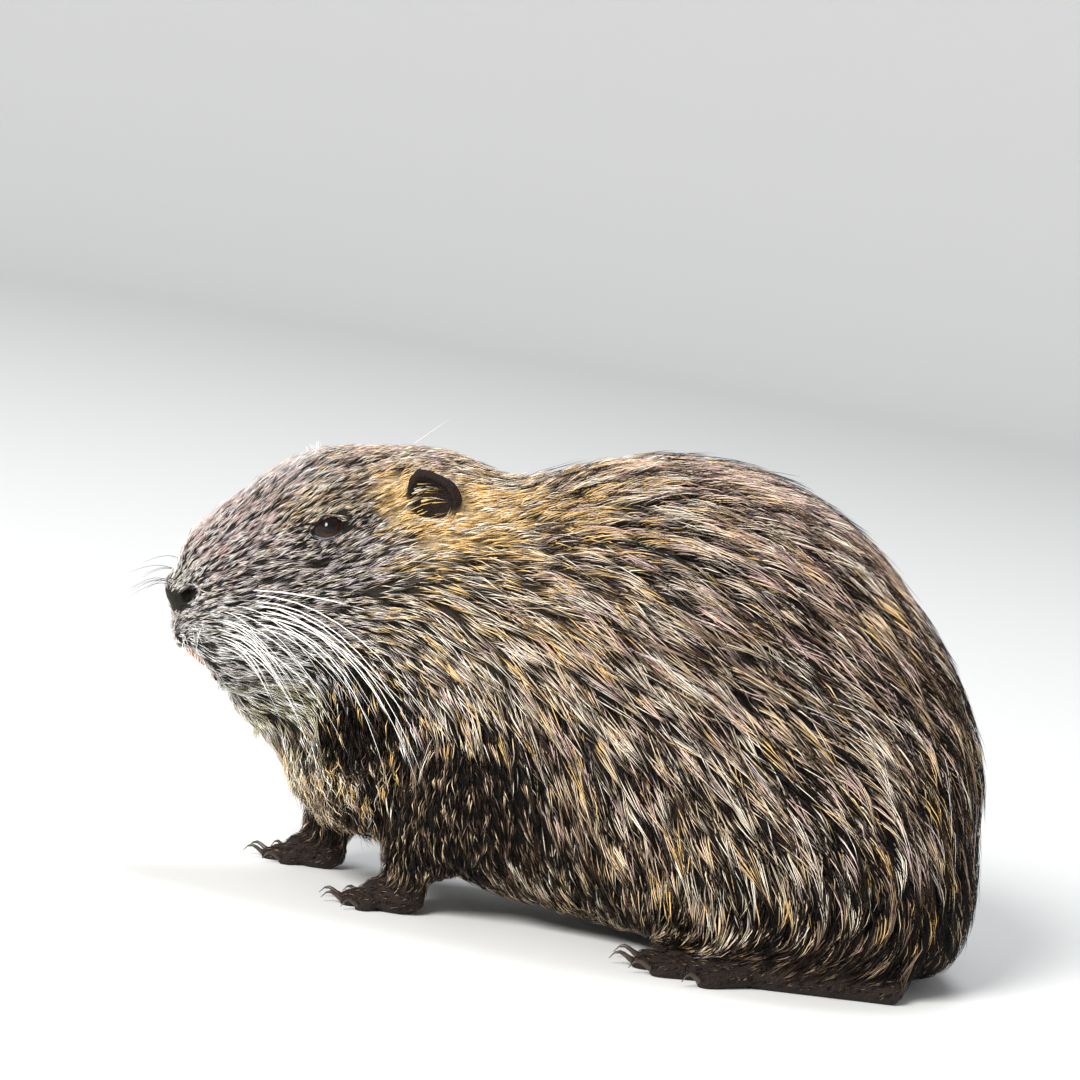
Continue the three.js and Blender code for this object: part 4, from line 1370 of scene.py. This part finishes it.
def in_ear(sign):
    for _ in range(COUNTS["ear"]):
        inside = as_on_head(np.array([EARS["right" if sign > 0 else "left"]]))[0] * [1, sign, 1]
        back, out, up = inside + [chance.normal(-1, 3), -4, chance.normal(0, 4)]
        root = head_place(back, out, up, sign)
        way = head_way(0.3 + chance.normal(0, 0.3), 1, 0.2 + chance.normal(0, 0.4), sign)
        yield whisker(root, way, unit(way + head_way(0.5, 0, -0.3)), chance.uniform(7, 12), 0.2, "tan")


# %% All the whiskers of a side in one piece
def whiskers_of(sign):
    """Roots, bends, tips, widths and colours of one side's whiskers."""
    groups = (on_bed, on_fringe, on_snout, under_nose, on_chin, on_brow, on_crown, on_cheek, in_ear)
    hairs = [hair for group in groups for hair in group(sign)]
    return [np.array(column) for column in zip(*hairs)]


whiskers = {side: tubes(f"whiskers_{side}", *whiskers_of(sign)) for side, sign in SIDES.items()}
print("whiskers", {side: len(piece.data.polygons) for side, piece in whiskers.items()}, "faces")

# %% [markdown]
# ## Finishes
#
# Each finish is a small network of shader nodes. Written out link by link, such a network hides the idea
# behind it, so a small class stands for a socket, and sums and products of sockets are written as plain
# expressions.

# %% Sockets as numbers
class Wire:
    """A socket of a material's nodes, for sums and products as with a number."""

    def __init__(self, finish, socket):
        self.finish = finish
        self.socket = socket

    def calculate(self, operation, first, second):
        return self.finish.node("ShaderNodeMath", {"operation": operation}, {0: first, 1: second})

    def __add__(self, other):
        return self.calculate("ADD", self, other)

    __radd__ = __add__

    def __rsub__(self, other):
        return self.calculate("SUBTRACT", other, self)

    def __mul__(self, other):
        return self.calculate("MULTIPLY", self, other)

    def __truediv__(self, other):
        return self.calculate("DIVIDE", self, other)


class Finish:
    """One material, with a method that adds any node."""

    def __init__(self, name):
        self.material = bpy.data.materials.new(name)
        self.material.use_nodes = True
        self.tree = self.material.node_tree
        self.shader = self.tree.nodes["Principled BSDF"]

    def node(self, kind, settings=None, sockets=None, output=0):
        """Adds a node, makes its settings, then gives its sockets values or wires."""
        made = self.tree.nodes.new(kind)
        for name, value in (settings or {}).items():
            if name == "stops":
                ramp = made.color_ramp
                for index, (place, colour) in enumerate(value):
                    stop = ramp.elements[index] if index < 2 else ramp.elements.new(place)
                    stop.position = place
                    stop.color = (*colour, 1)
            else:
                setattr(made, name, value)
        for name, value in (sockets or {}).items():
            self.give(made.inputs[name], value)
        return Wire(self, made.outputs[output])

    def give(self, socket, value):
        if isinstance(value, Wire):
            self.tree.links.new(value.socket, socket)
        else:
            socket.default_value = value

    def set(self, **values):
        """Values or wires for the shader's own sockets."""
        for name, value in values.items():
            self.give(self.shader.inputs[name.replace("_", " ")], value)

    def place(self):
        return self.node("ShaderNodeTexCoord", output="Object")

    def attribute(self, name, output="Color"):
        return self.node("ShaderNodeAttribute", {"attribute_name": name}, output=output)

    def mix(self, share, first, second):
        """Two colours mixed."""
        return self.node("ShaderNodeMix", {"data_type": "RGBA"}, {0: share, 6: first, 7: second}, output=2)

    def scaled(self, colour, lightness):
        return self.node("ShaderNodeVectorMath", {"operation": "SCALE"}, {0: colour, "Scale": lightness})

    def from_vectors(self, operation, first, second):
        """A number from two vectors."""
        return self.node("ShaderNodeVectorMath", {"operation": operation}, {0: first, 1: second}, output=1)

    def step(self, value, low, high):
        """0 below low, 1 above high, and an easy S between them."""
        return self.node("ShaderNodeMapRange", {"interpolation_type": "SMOOTHSTEP"},
                         {"Value": value, "From Min": low, "From Max": high})

    def noise(self, scale, detail=3.0, where=None):
        return self.node("ShaderNodeTexNoise",
                         sockets={"Vector": where or self.place(), "Scale": scale, "Detail": detail})

    def bump(self, height, strength, distance):
        return self.node("ShaderNodeBump",
                         sockets={"Height": height, "Strength": strength, "Distance": distance})


def opaque(code):
    """A web colour for a shader's socket."""
    return (*linear(code), 1)


# %% Hair
def hair_finish(name, roughness):
    finish = Finish(name)
    colour = finish.scaled(finish.attribute("hair_colour"), 0.8 + finish.noise(90.0) * 0.4)
    finish.set(Base_Color=colour, Roughness=roughness, Specular_IOR_Level=0.17)
    return finish.material


def wear(pieces, material):
    for piece in pieces:
        piece.data.materials.clear()
        piece.data.materials.append(material)


wear(coats, hair_finish("wet_hair", 0.36))

# %% The skin's colours, the same mixture as the coat's, but darkened as painted shade under the coat
# Bare skin's own colours; the blue-grey on the lower lid's wet rim is a painted reflection.
BARE = (("#2b2320", feet), ("#4a3f38", tail), ("#241b17", ear), ("#120e0d", lids), ("#1f1e16", pad),
        ("#2a1310", mouth), ("#6a727c", lower_rim_reflection))
# Painted shade: under the coat the skin is darkened, less where the coat is ochre, and the nostrils almost to
# black.
UNDER_COAT_SHADE, UNDER_OCHRE = 0.03, 1.2
NOSTRIL_SHADE = 0.97
TAIL_RING = 2.1
golden = mixture[:, [hair_index("ochre")]]
# The skin under the coat, darkened as painted shade.
skin_colour = (mixture @ HAIR_COLOURS) * (UNDER_COAT_SHADE + UNDER_OCHRE * golden**2)
for code, mask in BARE:
    skin_colour = skin_colour * (1 - mask[:, None]) + linear(code) * mask[:, None]
# Painted shade: the skin inside the nostrils is darkened almost to black.
skin_colour = skin_colour * (1 - NOSTRIL_SHADE * in_nostril[:, None])
layer = skin.data.attributes.new("along_tail", "FLOAT", "POINT")
layer.data.foreach_set("value", tail_run.astype(np.float32))
paint(skin.data, "skin_colour", skin_colour)

# %% The skin's finish: a fine grain, and rings round the tail
skin_finish = Finish("skin")
grain = skin_finish.noise(1400.0, 4.0) + skin_finish.noise(700.0, 2.0) * 1.5
rings = grain.calculate("SINE", skin_finish.attribute("along_tail", "Fac") * (2 * math.pi / TAIL_RING), 0.0)
colour = skin_finish.scaled(skin_finish.attribute("skin_colour"), rings * 0.3 + 1.0)
skin_finish.set(Base_Color=colour, Roughness=0.62, Specular_IOR_Level=0.14,
                Normal=skin_finish.bump(grain + rings * 0.8, 0.9, 0.9 * MM))
wear([skin], skin_finish.material)
skin.data.shade_smooth()
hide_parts(*FLESH)

# %% Eyes
PUPIL_EDGE = (2.6, 3.1)
IRIS_EDGE = (5.2, 6.4)
PUPIL_COLOUR = (0.004, 0.003, 0.003, 1)
EDGE_COLOUR = (0.012, 0.008, 0.006, 1)


def eye_finish(side):
    """Brown below and darker above, as painted light and shade, round a black pupil, under a wet coat."""
    sign = SIDES[side]
    middle = head_place(*EYE_PLACE, sign)
    axes = eye_axes(sign)
    pupil = (middle + axes[:, 2] * EYE_RADIUS * MM).tolist()
    finish = Finish(f"eye_{side}")
    place = finish.place()
    from_pupil = finish.from_vectors("DISTANCE", place, pupil) / MM
    height = finish.from_vectors("DOT_PRODUCT", place, axes[:, 1].tolist())
    # Painted light and shade: the iris is painted lighter below the eye's middle and darker above it, under
    # the upper lid.
    low = (float(middle @ axes[:, 1]) - height) / MM
    brown = {"stops": ((0.2, linear("#140906")), (1.0, linear("#43260f")))}
    iris = finish.node("ShaderNodeValToRGB", brown, {"Fac": low * 0.17 + finish.noise(900.0) * 0.5})
    colour = finish.mix(finish.step(from_pupil, *PUPIL_EDGE), PUPIL_COLOUR, iris)
    colour = finish.mix(finish.step(from_pupil, *IRIS_EDGE), colour, EDGE_COLOUR)
    finish.set(Base_Color=colour, Roughness=0.2, Specular_IOR_Level=0.1)
    finish.set(Coat_Weight=0.32, Coat_Roughness=0.02)
    return finish.material


for side, ball in eyeballs.items():
    wear([ball], eye_finish(side))
    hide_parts(f"eye_{side}")

# %% Teeth, claws and whiskers
def grained(name, dark, light, roughness, relief, scale, detail=3.0, stretch=None):
    """A hard finish between two colours, with streaks or ridges that also stand up a little."""
    finish = Finish(name)
    where = finish.place()
    if stretch:
        where = finish.node("ShaderNodeMapping", sockets={"Vector": where, "Scale": stretch})
    grain = finish.noise(scale, detail, where)
    finish.set(Base_Color=finish.mix(grain, opaque(dark), opaque(light)), Roughness=roughness,
               Normal=finish.bump(grain, relief, 0.2 * MM))
    return finish.material


enamel = grained("orange_enamel", "#b4481c", "#e08a3c", 0.28, 0.2, 300.0, 2.0, stretch=(2, 6, 0.6))
horn = grained("dark_horn", "#1b1411", "#4d3f35", 0.35, 0.3, 700.0)
wear([upper_teeth, lower_teeth], enamel)
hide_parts("incisors_upper")
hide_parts("incisors_lower")
for piece, nodes in claws.values():
    wear([piece], horn)
    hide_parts(*nodes)
wear(whiskers.values(), hair_finish("whisker", 0.3))

# %% Give every piece its body
claw_pieces = [piece for piece, nodes in claws.values()]
slots = {
    "coat_face": coat_face + coat_lips + list(whiskers.values()),
    "coat": trunk_coats,
    "coat_legs": coat_legs,
    "tail_skin": coat_tail,
    "bare_skin": [skin],
    "eye": list(eyeballs.values()),
    "enamel": [upper_teeth, lower_teeth],
    "horn": claw_pieces,
}
made = []
for slot, pieces in slots.items():
    for piece in pieces:
        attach(piece, BODY)
        made.append(piece)
triangles = sum(len(face.vertices) - 2 for piece in made for face in piece.data.polygons)
print(len(made), "pieces,", triangles, "triangles")

# %% [markdown]
# ## Floor, light and camera

# %% Floor
FLOOR_RADIUS = 3.6
WALL_RADIUS = 1.6
WALL_STEPS = 24
RIM = 1.02
FLOOR_EDGE = FLOOR_RADIUS * RIM
deselect()
bpy.ops.mesh.primitive_circle_add(vertices=128, radius=FLOOR_RADIUS, fill_type="NGON", location=(0, 0, 0))
floor = bpy.context.object
floor.name = "floor"
with editing(floor, "SELECT"):
    bpy.ops.mesh.extrude_region_move()
    bpy.ops.transform.resize(value=(RIM, RIM, 1))
    radius, height = FLOOR_EDGE, 0.0
    for step in range(1, WALL_STEPS + 1):
        angle = math.radians(90 * step / WALL_STEPS)
        next_radius = FLOOR_EDGE + WALL_RADIUS * math.sin(angle)
        next_height = WALL_RADIUS * (1 - math.cos(angle))
        bpy.ops.mesh.extrude_region_move(TRANSFORM_OT_translate={"value": (0, 0, next_height - height)})
        bpy.ops.transform.resize(value=(next_radius / radius, next_radius / radius, 1))
        radius, height = next_radius, next_height
    bpy.ops.mesh.delete(type="ONLY_FACE")
floor.data.shade_smooth()
floor_finish = Finish("floor_paint")
floor_finish.set(Base_Color=(0.8, 0.8, 0.79, 1), Roughness=0.95, Specular_IOR_Level=0.1)
wear([floor], floor_finish.material)

# %% Light
world = bpy.data.worlds.new("studio")
bpy.context.scene.world = world
world.use_nodes = True
world.node_tree.nodes["Background"].inputs["Color"].default_value = (0.95, 0.97, 1.0, 1)
world.node_tree.nodes["Background"].inputs["Strength"].default_value = 0.42


def softbox(name, place, aim, width, power, colour=(1, 1, 1)):
    light = bpy.data.lights.new(name, "AREA")
    light.shape = "DISK"
    light.size = width
    light.energy = power
    light.color = colour
    lamp = bpy.data.objects.new(name, light)
    bpy.context.collection.objects.link(lamp)
    lamp.location = place
    lamp.rotation_euler = (Vector(aim) - Vector(place)).to_track_quat("-Z", "Y").to_euler()
    return lamp


softbox("key", (-1.6, -3.1, 2.2), (0, 0, 0.1), 1.5, 245, (1, 0.99, 0.97))
softbox("top", (0.3, 0.9, 3.6), (0, 0, 0.1), 1.6, 55, (0.95, 0.97, 1))

# %% Camera
LENS = 150
VIEW_WIDTH = 469.6 * MM
LOOK_AT = Vector((-27.3 * MM, MIDLINE, 164.6 * MM))
ELEVATION = math.radians(6)
ROLL = math.radians(9.5)
camera_data = bpy.data.cameras.new("camera")
camera_data.lens = LENS
camera = bpy.data.objects.new("camera", camera_data)
bpy.context.collection.objects.link(camera)
level_right = Vector((1, 0, 0))
level_up = Vector((0, math.sin(ELEVATION), math.cos(ELEVATION)))
behind = Vector((0, -math.cos(ELEVATION), math.sin(ELEVATION)))
right = level_right * math.cos(ROLL) + level_up * math.sin(ROLL)
above = level_up * math.cos(ROLL) - level_right * math.sin(ROLL)
distance = VIEW_WIDTH * LENS / camera_data.sensor_width
turn = Matrix((right, above, behind)).transposed().to_4x4()
camera.matrix_world = Matrix.Translation(LOOK_AT + behind * distance) @ turn
bpy.context.scene.camera = camera
bpy.context.scene.view_settings.view_transform = "Standard"
